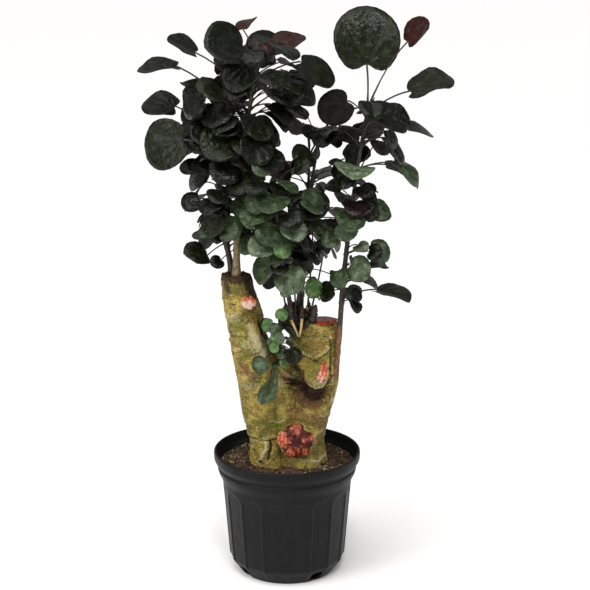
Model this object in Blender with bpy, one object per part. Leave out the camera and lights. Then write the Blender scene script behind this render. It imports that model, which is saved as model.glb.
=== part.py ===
"""A potted round-leaf aralia grown from an old cut stump.

Origin at the centre of the pot's flat underside, +Z up, +X to the viewer's right and -Y to the
front. Metres throughout; angles in degrees, bearings counted from +X towards +Y.
"""

import math
import random
from collections import namedtuple

import bmesh
import bpy
from mathutils import Matrix, Vector

CLEARANCE = 0.0003
GOLDEN_ANGLE = 137.5

# Nursery pot: a 267 mm rim on 230 mm of height
POT_HEIGHT = 0.230
POT_RIM_RADIUS = 0.1335
POT_LIP_HEIGHT = 0.020
POT_BAND_RADIUS = 0.1262
POT_BAND_HEIGHT = 0.190
POT_LEDGE_RADIUS = 0.1205
POT_LEDGE_HEIGHT = 0.181
POT_BODY_RADIUS = 0.1178
POT_FOOT_RADIUS = 0.106
POT_CHAMFER_HEIGHT = 0.028
POT_BASE_RADIUS = 0.085
POT_WALL = 0.0025
POT_FLOOR = 0.003
POT_WALL_TOP = 0.175
FLUTES = 16
FLUTE_DEPTH = 0.0016
FLUTE_TOP = 0.162
FLUTE_ARCH = 0.012
COLUMNS_PER_FLUTE = 4
DRAIN_NOTCH = (0.020, 0.030, 0.016)
DRAIN_BEARINGS = (-55, 35, 125, 215)

SOIL_SIDES = 36
SOIL_TOP = 0.208
SOIL_FLAT_RADIUS = 0.084
SOIL_BUMP = 0.0025

# Trunk: two old stems grown together. A section is its height, its centre (x, y) and its half
# widths along x and y.
FORK_HEIGHT = 0.412
WEB_HEIGHT = 0.394
COLUMN_SIDES = 20
COLUMN_ROW = 0.028
COLUMN_WAVE = 0.025
ROOTS = 5
ROOT_FLARE = 0.09
ROOT_FLARE_HEIGHT = 0.016
COLUMNS = {
    "left": dict(
        sections=(
            (SOIL_TOP, -0.031, 0.002, 0.037, 0.050),
            (0.260, -0.032, 0.001, 0.038, 0.047),
            (FORK_HEIGHT, -0.0595, -0.002, 0.039, 0.041),
            (0.563, -0.0905, -0.004, 0.0285, 0.029),
        ),
        lobes=3, turn=20,
    ),
    "right": dict(
        sections=(
            (SOIL_TOP, 0.031, 0.000, 0.038, 0.052),
            (0.260, 0.030, 0.000, 0.038, 0.049),
            (FORK_HEIGHT, 0.051, 0.000, 0.044, 0.044),
            (0.478, 0.046, 0.002, 0.049, 0.046),
        ),
        lobes=4, turn=50,
    ),
    "web": dict(
        sections=(
            (SOIL_TOP, -0.002, 0.004, 0.040, 0.044),
            (WEB_HEIGHT, -0.008, 0.004, 0.024, 0.030),
        ),
        lobes=2, turn=0,
    ),
}

# Sawn stubs: where the face's centre lies, which way it looks, how wide and how deep it is
STUB_SIDES = 14
STUB_SWELL = (1.25, 1.08, 1.0)
STUB_ROUNDED = 0.004
STUBS = {
    "base": dict(face=(0.016, -0.064, 0.266), looks=(0.02, -1.0, 0.10), radius=0.027, length=0.030),
    "knob": dict(face=(0.054, -0.064, 0.386), looks=(0.25, -0.95, 0.05), radius=0.020, length=0.040),
    "left": dict(face=(-0.064, -0.040, 0.517), looks=(0.25, -0.80, 0.45), radius=0.012, length=0.026),
}

# Wax seals: radius, thickness, and the lobes round their edge. A section runs from the seal's
# underside to its top, each ring a share of the radius and of the thickness.
SEAL_SIDES = 18
SEAL_SECTION = ((0.90, 0.0), (1.0, 0.40), (0.82, 1.0), (0.35, 0.65))
TOP_SEAL_SECTION = ((1.0, 0.0), (1.0, 0.5), (0.92, 1.0))
SEALS = {
    "base": dict(radius=0.033, thick=0.005, lobes=5, lobe=0.20),
    "knob": dict(radius=0.014, thick=0.003, lobes=3, lobe=0.12),
    "left": dict(radius=0.010, thick=0.003, lobes=2, lobe=0.10),
}
TOP_SEAL = dict(centre=(0.063, 0.001), half=(0.028, 0.037), thick=0.004)

# Blade outline about its centre, as shares of the half width
NOTCH_DEPTH = 0.32
NOTCH_ANGLE = 20
RIM_STRETCH = 0.03
BLADE_SIDES = 8
BLADE_THICK = 0.035
BLADE_CUP = 0.10
CUP_RAISE = 0.35
JOINT_AT = 0.72
PETIOLE_SUNK = 0.60
PETIOLE_BELOW = 0.0044
PETIOLE_RADII = (0.0021, 0.0016, 0.0005)
PETIOLE_ARCH = 0.07
STEM_SIDES = 6
STEM_STEPS = 7

# Clear space kept round a leaf while the rule places it
BLADE_MARGIN = 0.0040
PETIOLE_MARGIN = 0.0042
STEM_MARGIN = 0.009
LIMB_MARGIN = 0.007
SPREAD = 1.05
STALK_STEPS = 4
OWN_STEM_STEPS = 3

# How freely the rule draws each size and angle
TRIES = 20
CROWDING = 0.9
BEARING_SPREAD = 35
REACH_SPREAD = (0.4, 1.3)
WIDTH_SPREAD = (0.75, 1.15)
LEAN_SPREAD = 18
FACE_SPREAD = 50
LEAST_TILT = 8
MOST_RISE = 70

# Shoots: foot and tip of the stem, how far its middle bows out, where its leaves begin, and the
# rule for them: low, middle and high value of each size. Lead leaves stand out past the rule:
# height of the root, bearing, reach, lift, width, then the bearing and tilt that the blade faces.
SHOOTS = {
    "left": dict(
        foot=(-0.089, -0.012, 0.563), tip=(-0.049, 0.002, 0.936),
        bow=(-0.010, 0.008), radii=(0.0065, 0.0022),
        leafy=0.655, leaves=58, turn=40, favour=(0, 0.35),
        reach=(0.050, 0.062, 0.040), rise=(10, 25, 35),
        width=(0.056, 0.070, 0.062), tilt=(48, 35, 30),
        leads=(
            (0.930, 210, 0.025, 0.035, 0.090, 310, 50),
            (0.930, 40, 0.040, 0.020, 0.070, 240, 30),
            (0.930, 140, 0.010, 0.060, 0.040, 220, 30),
            (0.930, 20, 0.005, 0.025, 0.030, 280, 50),
            (0.900, 340, 0.085, 0.040, 0.080, 315, 40),
            (0.870, 175, 0.095, 0.080, 0.065, 330, 35),
            (0.830, 190, 0.120, 0.100, 0.080, 245, 10),
            (0.780, 170, 0.120, 0.075, 0.070, 280, 30),
            (0.850, 205, 0.090, 0.040, 0.065, 220, 70),
            (0.770, 210, 0.115, 0.040, 0.090, 245, 75),
            (0.800, 240, 0.040, 0.015, 0.075, 280, 50),
            (0.850, 355, 0.065, 0.040, 0.065, 295, 40),
        ),
    ),
    "rear_left": dict(
        foot=(-0.098, 0.014, 0.563), tip=(-0.126, 0.062, 0.850),
        bow=(-0.010, 0.010), radii=(0.0055, 0.0022),
        leafy=0.595, leaves=34, turn=150, favour=(20, 0.5),
        reach=(0.040, 0.046, 0.036), rise=(8, 22, 35),
        width=(0.050, 0.064, 0.062), tilt=(50, 38, 30),
        leads=(
            (0.675, 225, 0.050, 0.020, 0.040, 270, 55),
            (0.750, 205, 0.030, 0.000, 0.045, 260, 30),
            (0.610, 200, 0.035, -0.020, 0.055, 320, 40),
        ),
    ),
    "front": dict(
        foot=(0.012, -0.018, 0.478), tip=(-0.024, -0.052, 0.750),
        bow=(-0.004, -0.012), radii=(0.0048, 0.0020),
        leafy=0.545, leaves=26, turn=250, favour=(300, 0.2),
        reach=(0.032, 0.040, 0.028), rise=(5, 15, 35),
        width=(0.050, 0.058, 0.048), tilt=(52, 42, 36),
        leads=(
            (0.600, 210, 0.025, 0.030, 0.070, 260, 40),
            (0.705, 265, 0.025, 0.015, 0.065, 285, 20),
            (0.675, 230, 0.025, 0.020, 0.065, 260, 20),
            (0.625, 290, 0.030, 0.015, 0.045, 320, 70),
            (0.580, 300, 0.010, 0.015, 0.040, 300, 60),
            (0.735, 220, 0.005, 0.035, 0.040, 270, 60),
            (0.715, 250, 0.005, 0.035, 0.050, 240, 30),
        ),
    ),
    "middle": dict(
        foot=(0.024, 0.002, 0.478), tip=(0.056, 0.012, 0.806),
        bow=(-0.004, 0.004), radii=(0.0052, 0.0020),
        leafy=0.530, leaves=36, turn=330, favour=(180, 0.1),
        reach=(0.036, 0.048, 0.034), rise=(0, 18, 35),
        width=(0.040, 0.058, 0.054), tilt=(58, 45, 38),
        leads=(
            (0.765, 245, 0.020, 0.015, 0.050, 315, 45),
            (0.705, 270, 0.020, 0.005, 0.065, 270, 50),
            (0.550, 305, 0.040, 0.005, 0.040, 310, 80),
        ),
    ),
    "rear": dict(
        foot=(0.018, 0.025, 0.478), tip=(0.040, 0.076, 0.790),
        bow=(0.006, 0.010), radii=(0.0048, 0.0020),
        leafy=0.560, leaves=31, turn=70, favour=(90, 0.3),
        reach=(0.050, 0.065, 0.045), rise=(5, 22, 35),
        width=(0.050, 0.064, 0.060), tilt=(52, 38, 30),
        leads=(),
    ),
    "right": dict(
        foot=(0.090, -0.028, 0.345), tip=(0.141, 0.000, 0.856),
        bow=(-0.011, -0.010), radii=(0.0060, 0.0022),
        leafy=0.500, leaves=36, turn=300, favour=(90, 0.3),
        reach=(0.036, 0.045, 0.050), rise=(5, 20, 35),
        width=(0.038, 0.052, 0.062), tilt=(52, 42, 34),
        leads=(
            (0.850, 90, 0.030, 0.075, 0.120, 270, 75),
            (0.845, 15, 0.055, 0.115, 0.075, 210, 30),
            (0.845, 5, 0.075, 0.040, 0.090, 220, 30),
            (0.840, 330, 0.045, 0.050, 0.080, 260, 40),
            (0.820, 320, 0.035, 0.040, 0.070, 300, 40),
            (0.790, 15, 0.085, 0.030, 0.060, 335, 20),
            (0.840, 230, 0.050, 0.035, 0.065, 265, 65),
            (0.750, 345, 0.065, 0.015, 0.070, 340, 40),
            (0.740, 265, 0.040, 0.025, 0.070, 325, 10),
            (0.680, 340, 0.035, 0.000, 0.040, 260, 40),
            (0.655, 270, 0.045, 0.030, 0.055, 300, 30),
            (0.580, 300, 0.015, 0.005, 0.050, 240, 60),
            (0.610, 300, 0.035, 0.015, 0.030, 240, 30),
            (0.520, 335, 0.065, 0.025, 0.075, 335, 10),
        ),
    ),
    "crotch": dict(
        foot=(-0.012, -0.012, 0.394), tip=(-0.014, -0.046, 0.480),
        bow=(0.000, -0.010), radii=(0.0032, 0.0018),
        leafy=0.408, leaves=6, turn=200, favour=(270, 0.3),
        reach=(0.020, 0.020, 0.012), rise=(0, 15, 30),
        width=(0.026, 0.028, 0.024), tilt=(60, 55, 50),
        leads=(
            (0.425, 240, 0.050, 0.000, 0.035, 255, 50),
            (0.440, 300, 0.035, 0.000, 0.035, 295, 45),
            (0.415, 245, 0.040, -0.030, 0.070, 195, 60),
            (0.470, 230, 0.015, 0.015, 0.025, 270, 65),
        ),
    ),
}

COLOURS = {
    "plastic": (0.016, 0.016, 0.017),
    "soil": (0.060, 0.030, 0.016),
    "bark": (0.260, 0.215, 0.060),
    "wax": (0.460, 0.085, 0.045),
    "shoot": (0.070, 0.050, 0.030),
    "leaf": (0.010, 0.022, 0.009),
}

Leaf = namedtuple("Leaf", "root elbow joint sunk centre along across normal width")


# Materials and scene

def clear_scene():
    for thing in list(bpy.data.objects):
        bpy.data.objects.remove(thing, do_unlink=True)


def material(name, roughness):
    made = bpy.data.materials.get(name) or bpy.data.materials.new(name)
    made.use_nodes = True
    shader = made.node_tree.nodes["Principled BSDF"]
    shader.inputs["Base Color"].default_value = (*COLOURS[name], 1.0)
    shader.inputs["Roughness"].default_value = roughness
    return made


def add_object(name, mesh, look, roughness, collection=None):
    """Turns a bmesh into an object, its faces pointing out."""
    bmesh.ops.recalc_face_normals(mesh, faces=mesh.faces)
    data = bpy.data.meshes.new(name)
    mesh.to_mesh(data)
    mesh.free()
    made = bpy.data.objects.new(name, data)
    data.materials.append(material(look, roughness))
    (collection or bpy.context.scene.collection).objects.link(made)
    return made


def apply_modifiers(thing):
    bpy.context.view_layer.update()
    evaluated = thing.evaluated_get(bpy.context.evaluated_depsgraph_get())
    data = bpy.data.meshes.new_from_object(evaluated)
    thing.modifiers.clear()
    thing.data = data


def largest_piece_only(thing):
    """Drops the scraps and sealed hollows that fusing leaves behind."""
    mesh = bmesh.new()
    mesh.from_mesh(thing.data)
    bmesh.ops.triangulate(mesh, faces=mesh.faces)
    seen = set()
    pieces = []
    for first in mesh.faces:
        if first in seen:
            continue
        seen.add(first)
        piece = [first]
        for face in piece:
            joined = [edge.link_faces for edge in face.edges if len(edge.link_faces) == 2]
            for neighbour in (other for pair in joined for other in pair):
                if neighbour not in seen:
                    seen.add(neighbour)
                    piece.append(neighbour)
        pieces.append(piece)
    pieces.sort(key=len, reverse=True)
    scraps = [face for piece in pieces[1:] for face in piece]
    bmesh.ops.delete(mesh, geom=scraps, context="FACES")
    mesh.to_mesh(thing.data)
    mesh.free()


def fuse(base, pieces, solver="EXACT"):
    """One Boolean union joins the pieces to the base object, which keeps its name."""
    joined = bpy.data.collections.new(base.name + "_pieces")
    bpy.context.scene.collection.children.link(joined)
    for piece in pieces:
        bpy.context.scene.collection.objects.unlink(piece)
        joined.objects.link(piece)
    union = base.modifiers.new("Fuse", "BOOLEAN")
    union.operation = "UNION"
    union.operand_type = "COLLECTION"
    union.collection = joined
    union.solver = solver
    apply_modifiers(base)
    for piece in pieces:
        bpy.data.objects.remove(piece, do_unlink=True)
    bpy.data.collections.remove(joined)
    largest_piece_only(base)


def smooth(thing, angle=40):
    thing.data.shade_smooth()
    thing.data.set_sharp_from_angle(angle=math.radians(angle))


# Shapes

def loft(rings):
    """A closed solid through rings of equal counts, with a flat cap at both ends."""
    mesh = bmesh.new()
    loops = []
    for ring in rings:
        verts = [mesh.verts.new(point) for point in ring]
        loops.append([mesh.edges.new(pair) for pair in zip(verts, verts[1:] + verts[:1])])
    for lower, upper in zip(loops, loops[1:]):
        bmesh.ops.bridge_loops(mesh, edges=lower + upper)
    for loop in (loops[0], loops[-1]):
        bmesh.ops.contextual_create(mesh, geom=loop)
    return mesh


def frame_at(point, direction):
    """A matrix at the point whose Z runs along the direction."""
    turn = Vector(direction).to_track_quat("Z", "Y").to_matrix().to_4x4()
    return Matrix.Translation(point) @ turn


def circle(radius, sides, frame):
    angles = [math.tau * i / sides for i in range(sides)]
    return [frame @ Vector((radius * math.cos(a), radius * math.sin(a), 0)) for a in angles]


def tube(points, radii, sides, level_foot=False, level_tip=False):
    """A round tapering tube along the points, with a level cut at either end if asked."""
    ways = [points[1] - points[0]]
    ways += [after - before for before, after in zip(points, points[2:])]
    ways.append(points[-1] - points[-2])
    if level_foot:
        ways[0] = Vector((0, 0, 1))
    if level_tip:
        ways[-1] = Vector((0, 0, 1))
    frames = [frame_at(point, way) for point, way in zip(points, ways)]
    return loft([circle(radius, sides, frame) for radius, frame in zip(radii, frames)])


def between(low, high, share):
    return low + (high - low) * share


def three_way(values, share):
    """Runs from the low through the middle to the high value as the share goes from 0 to 1."""
    low, middle, high = values
    if share < 0.5:
        return between(low, middle, share * 2)
    return between(middle, high, share * 2 - 1)


# Pot and soil

def wall_radius(height):
    """The pot's outside below its ledge, along the ridges between the flutes."""
    share = (height - POT_CHAMFER_HEIGHT) / (POT_WALL_TOP - POT_CHAMFER_HEIGHT)
    return between(POT_FOOT_RADIUS, POT_BODY_RADIUS, share)


def pot_profile():
    """The wall's section, from the underside's centre up the outside and down the inside."""
    lip = POT_HEIGHT - POT_LIP_HEIGHT
    flutes = (FLUTE_TOP - FLUTE_ARCH, FLUTE_TOP - FLUTE_ARCH / 3, FLUTE_TOP, POT_WALL_TOP)
    band = POT_BAND_RADIUS - 0.0015
    return [
        (0.0, 0.0), (POT_BASE_RADIUS, 0.0), (POT_FOOT_RADIUS, POT_CHAMFER_HEIGHT),
        *[(wall_radius(height), height) for height in flutes],
        (POT_LEDGE_RADIUS, POT_LEDGE_HEIGHT), (band, POT_BAND_HEIGHT), (POT_BAND_RADIUS, lip - 0.005),
        (POT_RIM_RADIUS - 0.0015, lip), (POT_RIM_RADIUS, lip + 0.003),
        (POT_RIM_RADIUS, POT_HEIGHT - 0.002), (POT_RIM_RADIUS - 0.0015, POT_HEIGHT),
        (POT_RIM_RADIUS - 0.0035, POT_HEIGHT - 0.001), (POT_BAND_RADIUS - POT_WALL, lip - 0.001),
        (band - POT_WALL, POT_BAND_HEIGHT + 0.001),
        (POT_BODY_RADIUS - POT_WALL, POT_WALL_TOP),
        (POT_FOOT_RADIUS - POT_WALL, POT_CHAMFER_HEIGHT + 0.001),
        (POT_BASE_RADIUS - POT_WALL / 2, POT_FLOOR), (0.0, POT_FLOOR),
    ]


def flute_depth(column, height):
    """How far the wall lies back at a column of a flute: nothing on the ridge, arched at the top."""
    across = abs(column / COLUMNS_PER_FLUTE * 2 - 1)
    top = FLUTE_TOP - FLUTE_ARCH * across ** 2
    inside = 0 < height < top + 0.001
    return FLUTE_DEPTH if column and inside else 0.0


def make_pot():
    segments = FLUTES * COLUMNS_PER_FLUTE
    mesh = bmesh.new()
    verts = [mesh.verts.new((radius, 0, height)) for radius, height in pot_profile()]
    edges = [mesh.edges.new(pair) for pair in zip(verts, verts[1:])]
    bmesh.ops.spin(
        mesh, geom=verts + edges, axis=(0, 0, 1), cent=(0, 0, 0),
        steps=segments, angle=math.tau, use_merge=True,
    )
    bmesh.ops.remove_doubles(mesh, verts=mesh.verts, dist=1e-6)
    for vert in mesh.verts:
        radius = vert.co.xy.length
        column = round(math.atan2(vert.co.y, vert.co.x) / math.tau * segments) % COLUMNS_PER_FLUTE
        if radius > wall_radius(vert.co.z) - POT_WALL / 2:
            vert.co.xy *= 1 - flute_depth(column, vert.co.z) / radius
    pot = add_object("pot", mesh, "plastic", 0.5)
    cut_drains(pot)
    smooth(pot, 25)


def cut_drains(pot):
    """Four notches through the chamfer let water out."""
    for number, bearing in enumerate(DRAIN_BEARINGS):
        mesh = bmesh.new()
        turn = Matrix.Rotation(math.radians(bearing), 4, "Z")
        middle = (POT_BASE_RADIUS + POT_FOOT_RADIUS) / 2
        place = turn @ Matrix.Translation((middle + 0.004, 0, POT_CHAMFER_HEIGHT / 2 + 0.003))
        deep, wide, tall = DRAIN_NOTCH
        bmesh.ops.create_cube(mesh, size=1, matrix=place @ Matrix.Diagonal((deep, wide, tall, 1)))
        cutter = add_object(f"drain_cutter_{number}", mesh, "plastic", 0.5)
        cutter.hide_render = True
        cutter.display_type = "WIRE"
        cut = pot.modifiers.new("Drain", "BOOLEAN")
        cut.object = cutter
        cut.operation = "DIFFERENCE"


def make_soil():
    """The fill of the pot: flat round the trunk, a little rough towards the wall."""
    draw = random.Random("soil")
    gap = POT_WALL + CLEARANCE * 2
    sections = [
        (POT_BASE_RADIUS - POT_WALL / 2 - CLEARANCE * 2, POT_FLOOR + CLEARANCE),
        (POT_FOOT_RADIUS - gap, POT_CHAMFER_HEIGHT + 0.001),
        (POT_BODY_RADIUS - gap, POT_WALL_TOP),
        (POT_BAND_RADIUS - 0.0015 - gap, POT_BAND_HEIGHT + 0.002),
        (POT_BAND_RADIUS - gap, SOIL_TOP - 0.001),
        (between(SOIL_FLAT_RADIUS, POT_BAND_RADIUS, 0.5), SOIL_TOP),
        (SOIL_FLAT_RADIUS, SOIL_TOP),
    ]
    rings = [
        circle(radius, SOIL_SIDES, Matrix.Translation((0, 0, height)))
        for radius, height in sections
    ]
    at_wall, between_them = rings[4:6]
    for point in between_them:
        point.z += draw.uniform(-SOIL_BUMP, SOIL_BUMP)
    for point in at_wall:
        point.z += draw.uniform(-SOIL_BUMP, 0)
    add_object("soil", loft(rings), "soil", 0.95)


# Trunk and limbs

def column_top(column):
    return column["sections"][-1][0]


def column_at(column, height):
    """Centre and half widths of a column at a height."""
    sections = column["sections"]
    for low, high in zip(sections, sections[1:]):
        if height <= high[0]:
            break
    share = (height - low[0]) / (high[0] - low[0])
    x, y, half_x, half_y = Vector(low[1:]).lerp(Vector(high[1:]), share)
    return Vector((x, y)), Vector((half_x, half_y))


def column_ring(column, height):
    """A lobed ring: old wood swells between its furrows, and flares where it meets the soil."""
    centre, half = column_at(column, height)
    flare = ROOT_FLARE * math.exp((SOIL_TOP - height) / ROOT_FLARE_HEIGHT)
    ring = []
    for i in range(COLUMN_SIDES):
        angle = math.tau * i / COLUMN_SIDES
        wave = math.cos(column["lobes"] * angle + math.radians(column["turn"]))
        swell = 1 + COLUMN_WAVE * wave + flare * (0.6 + 0.4 * math.cos(ROOTS * angle))
        x = centre.x + half.x * swell * math.cos(angle)
        y = centre.y + half.y * swell * math.sin(angle)
        ring.append(Vector((x, y, height)))
    return ring


def column_mesh(column, low, high):
    rows = max(2, round((high - low) / COLUMN_ROW))
    heights = [between(low, high, i / rows) for i in range(rows + 1)]
    if low < FORK_HEIGHT:
        heights.insert(1, low + ROOT_FLARE_HEIGHT / 2)
    return loft([column_ring(column, height) for height in heights])


def stub_mesh(stub):
    looks = Vector(stub["looks"]).normalized()
    points = [Vector(stub["face"]) - looks * back for back in (stub["length"], STUB_ROUNDED, 0)]
    return tube(points, [stub["radius"] * swell for swell in STUB_SWELL], STUB_SIDES)


def make_trunk():
    low = SOIL_TOP + CLEARANCE
    trunk = add_object("trunk", column_mesh(COLUMNS["left"], low, FORK_HEIGHT), "bark", 0.8)
    pieces = [
        add_object("column_right", column_mesh(COLUMNS["right"], low, FORK_HEIGHT), "bark", 0.8),
        add_object("column_web", column_mesh(COLUMNS["web"], low, WEB_HEIGHT), "bark", 0.8),
        add_object("stub_base", stub_mesh(STUBS["base"]), "bark", 0.8),
        add_object("stub_knob", stub_mesh(STUBS["knob"]), "bark", 0.8),
    ]
    fuse(trunk, pieces)
    smooth(trunk)


def make_limbs():
    low = FORK_HEIGHT + CLEARANCE
    left = COLUMNS["left"]
    limb = add_object("limb_left", column_mesh(left, low, column_top(left)), "bark", 0.8)
    fuse(limb, [add_object("stub_left", stub_mesh(STUBS["left"]), "bark", 0.8)])
    smooth(limb)
    right = COLUMNS["right"]
    smooth(add_object("limb_right", column_mesh(right, low, column_top(right)), "bark", 0.8))


def seal_mesh(seal):
    """A dab of wax: lobed round its edge and a little dished."""
    rings = []
    for radius_share, height in SEAL_SECTION:
        ring = []
        for i in range(SEAL_SIDES):
            angle = math.tau * i / SEAL_SIDES
            swell = 1 - seal["lobe"] * (0.5 - 0.5 * math.cos(seal["lobes"] * angle))
            radius = seal["radius"] * radius_share * swell
            x, y = radius * math.cos(angle), radius * math.sin(angle)
            ring.append(Vector((x, y, seal["thick"] * height)))
        rings.append(ring)
    return loft(rings)


def make_seals():
    for name, seal in SEALS.items():
        stub = STUBS[name]
        looks = Vector(stub["looks"]).normalized()
        mesh = seal_mesh(seal)
        mesh.transform(frame_at(Vector(stub["face"]) + looks * CLEARANCE, looks))
        smooth(add_object("wax_" + name, mesh, "wax", 0.45))
    low = column_top(COLUMNS["right"]) + CLEARANCE
    rings = []
    for inset, rise in TOP_SEAL_SECTION:
        centre = Matrix.Translation((*TOP_SEAL["centre"], low + TOP_SEAL["thick"] * rise))
        wide = Matrix.Diagonal((*TOP_SEAL["half"], 1, 1))
        rings.append(circle(inset, SEAL_SIDES, centre @ wide))
    smooth(add_object("wax_top", loft(rings), "wax", 0.45))


# Shoots and their leaves

def stem_point(shoot, share):
    """A point on the stem's bowed line."""
    foot, tip = Vector(shoot["foot"]), Vector(shoot["tip"])
    bow = Vector((*shoot["bow"], 0)) * 4 * share * (1 - share)
    return foot.lerp(tip, share) + bow


def stem_share(shoot, height):
    return (height - shoot["foot"][2]) / (shoot["tip"][2] - shoot["foot"][2])


def stem_points(shoot, low, high, steps):
    return [stem_point(shoot, between(low, high, i / steps)) for i in range(steps + 1)]


def lay_leaf(shoot, height, bearing, reach, lift, width, faces, tilt):
    """Works out one leaf from its root's height and the way that its stalk and blade point."""
    root = stem_point(shoot, stem_share(shoot, height))
    out = Vector((math.cos(math.radians(bearing)), math.sin(math.radians(bearing)), 0))
    joint = root + out * reach + Vector((0, 0, lift))
    lean, side = math.radians(tilt), math.radians(faces)
    slope = math.sin(lean)
    normal = Vector((slope * math.cos(side), slope * math.sin(side), math.cos(lean)))
    along = (out - normal * out.dot(normal)).normalized()
    half = width / 2
    centre = joint + along * half * JOINT_AT
    arch = Vector((0, 0, PETIOLE_ARCH * (joint - root).length))
    elbow = root.lerp(joint, 0.5) + arch
    sunk = joint + along * half * PETIOLE_SUNK - normal * width * PETIOLE_BELOW
    return Leaf(root, elbow, joint, sunk, centre, along, normal.cross(along), normal, width)


def rim_angles(sides):
    """Angles round the blade, one of them in the notch on the stalk's side."""
    return [math.pi + math.tau * i / sides for i in range(sides)]


def rim_radius(angle):
    """The outline: round, a little longer than wide, with a notch where the stalk joins."""
    from_notch = math.degrees(abs(math.remainder(angle - math.pi, math.tau)))
    notch = NOTCH_DEPTH * math.exp(-((from_notch / NOTCH_ANGLE) ** 2))
    return 1 - notch + RIM_STRETCH * math.cos(angle)


def blade_point(leaf, angle, share=1.0):
    """A point of the blade at an angle and a share of the way from its centre to its rim."""
    radius = leaf.width / 2 * rim_radius(angle) * share
    droop = BLADE_CUP * leaf.width / 2 * share ** 2 * (CUP_RAISE - math.cos(angle) ** 2)
    flat = leaf.along * math.cos(angle) * radius + leaf.across * math.sin(angle) * radius
    return leaf.centre + flat + leaf.normal * droop


def disc_points(leaf):
    """Points round the plain disc that stands for the blade while leaves are placed."""
    reach = leaf.width / 2 * SPREAD
    return [
        leaf.centre + (leaf.along * math.cos(a) + leaf.across * math.sin(a)) * reach
        for a in rim_angles(BLADE_SIDES)
    ]


def line_hits_disc(start, end, leaf, margin):
    """True if a straight line passes through the blade's disc, or ends close over it."""
    reach = leaf.width / 2 * SPREAD + margin
    above = [leaf.normal.dot(point - leaf.centre) for point in (start, end)]
    for point, height in zip((start, end), above):
        if abs(height) < margin and (point - leaf.centre).length < reach:
            return True
    if above[0] * above[1] < 0:
        crossing = start.lerp(end, above[0] / (above[0] - above[1]))
        return (crossing - leaf.centre).length < reach
    return False


def discs_touch(one, other):
    apart = (one.width + other.width) / 2 * SPREAD + BLADE_MARGIN
    if (one.centre - other.centre).length > apart:
        return False
    for first, second in ((one, other), (other, one)):
        rim = disc_points(first)
        for point, after in zip(rim, rim[1:] + rim[:1]):
            if line_hits_disc(point, after, second, BLADE_MARGIN):
                return True
            if line_hits_disc(first.centre, point, second, BLADE_MARGIN):
                return True
    return False


def stalk_line(leaf):
    return [leaf.root, leaf.elbow, leaf.joint]


def stalk_hits_blade(line, leaf):
    return any(line_hits_disc(a, b, leaf, PETIOLE_MARGIN) for a, b in zip(line, line[1:]))


def samples(line):
    """Points set evenly along each stretch of a line."""
    shares = [i / STALK_STEPS for i in range(STALK_STEPS)]
    return [a.lerp(b, share) for a, b in zip(line, line[1:]) for share in shares] + [line[-1]]


def lines_near(one, other, margin):
    return any((a - b).length < margin for a in one for b in other)


def in_limb(point):
    for column in COLUMNS.values():
        if point.z > column_top(column) + LIMB_MARGIN or point.z < SOIL_TOP:
            continue
        centre, half = column_at(column, min(point.z, column_top(column)))
        x = (point.x - centre.x) / (half.x + LIMB_MARGIN)
        y = (point.y - centre.y) / (half.y + LIMB_MARGIN)
        if x * x + y * y < 1:
            return True
    return False


def leaf_fits(name, leaf, placed, stems):
    """A leaf stays where its stalk and blade clear the limbs, the stems and every other leaf."""
    line = stalk_line(leaf)
    stalk = samples(line)
    beyond = stalk[OWN_STEM_STEPS:]
    if any(in_limb(point) for point in disc_points(leaf) + beyond + [leaf.centre]):
        return False
    for other_name, stem in stems.items():
        if any(line_hits_disc(a, b, leaf, STEM_MARGIN) for a, b in zip(stem, stem[1:])):
            return False
        if other_name != name and lines_near(stalk, samples(stem), STEM_MARGIN):
            return False
    for other_name, other in placed:
        if discs_touch(leaf, other):
            return False
        other_line = stalk_line(other)
        if stalk_hits_blade(line, other) or stalk_hits_blade(other_line, leaf):
            return False
        first = OWN_STEM_STEPS if other_name == name else 0
        if lines_near(stalk[first:], samples(other_line)[first:], PETIOLE_MARGIN):
            return False
    return True


def rule_leaf(shoot, number, draw):
    """One leaf by the rule: up the stem by even steps, round it by the golden angle."""
    share = (number + 0.5) / shoot["leaves"]
    height = between(shoot["leafy"] + 0.006, shoot["tip"][2] - 0.003, share ** CROWDING)
    bearing = shoot["turn"] + GOLDEN_ANGLE * number + draw.uniform(-BEARING_SPREAD, BEARING_SPREAD)
    favoured, more = shoot["favour"]
    reach = three_way(shoot["reach"], share) * draw.uniform(*REACH_SPREAD)
    reach *= 1 + more * math.cos(math.radians(bearing - favoured))
    rise = three_way(shoot["rise"], share) + draw.uniform(-LEAN_SPREAD, LEAN_SPREAD)
    width = three_way(shoot["width"], share) * draw.uniform(*WIDTH_SPREAD)
    tilt = three_way(shoot["tilt"], share) + draw.uniform(-LEAN_SPREAD, LEAN_SPREAD)
    lift = reach * math.tan(math.radians(min(MOST_RISE, rise)))
    faces = bearing + draw.uniform(-FACE_SPREAD, FACE_SPREAD)
    return lay_leaf(shoot, height, bearing, reach, lift, width, faces, max(LEAST_TILT, tilt))


def plan_leaves():
    """Every shoot's leaves: the leads first, then the rule's leaf by leaf round all shoots."""
    stems = {
        name: stem_points(shoot, 0, 1, STEM_STEPS) for name, shoot in SHOOTS.items()
    }
    placed = []
    for name, shoot in SHOOTS.items():
        for lead in shoot["leads"]:
            leaf = lay_leaf(shoot, *lead)
            if leaf_fits(name, leaf, placed, stems):
                placed.append((name, leaf))
    for name, shoot in SHOOTS.items():
        for number in reversed(range(shoot["leaves"])):
            draw = random.Random(f"{name} {number}")
            for _ in range(TRIES):
                leaf = rule_leaf(shoot, number, draw)
                if leaf_fits(name, leaf, placed, stems):
                    placed.append((name, leaf))
                    break
    return placed


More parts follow.
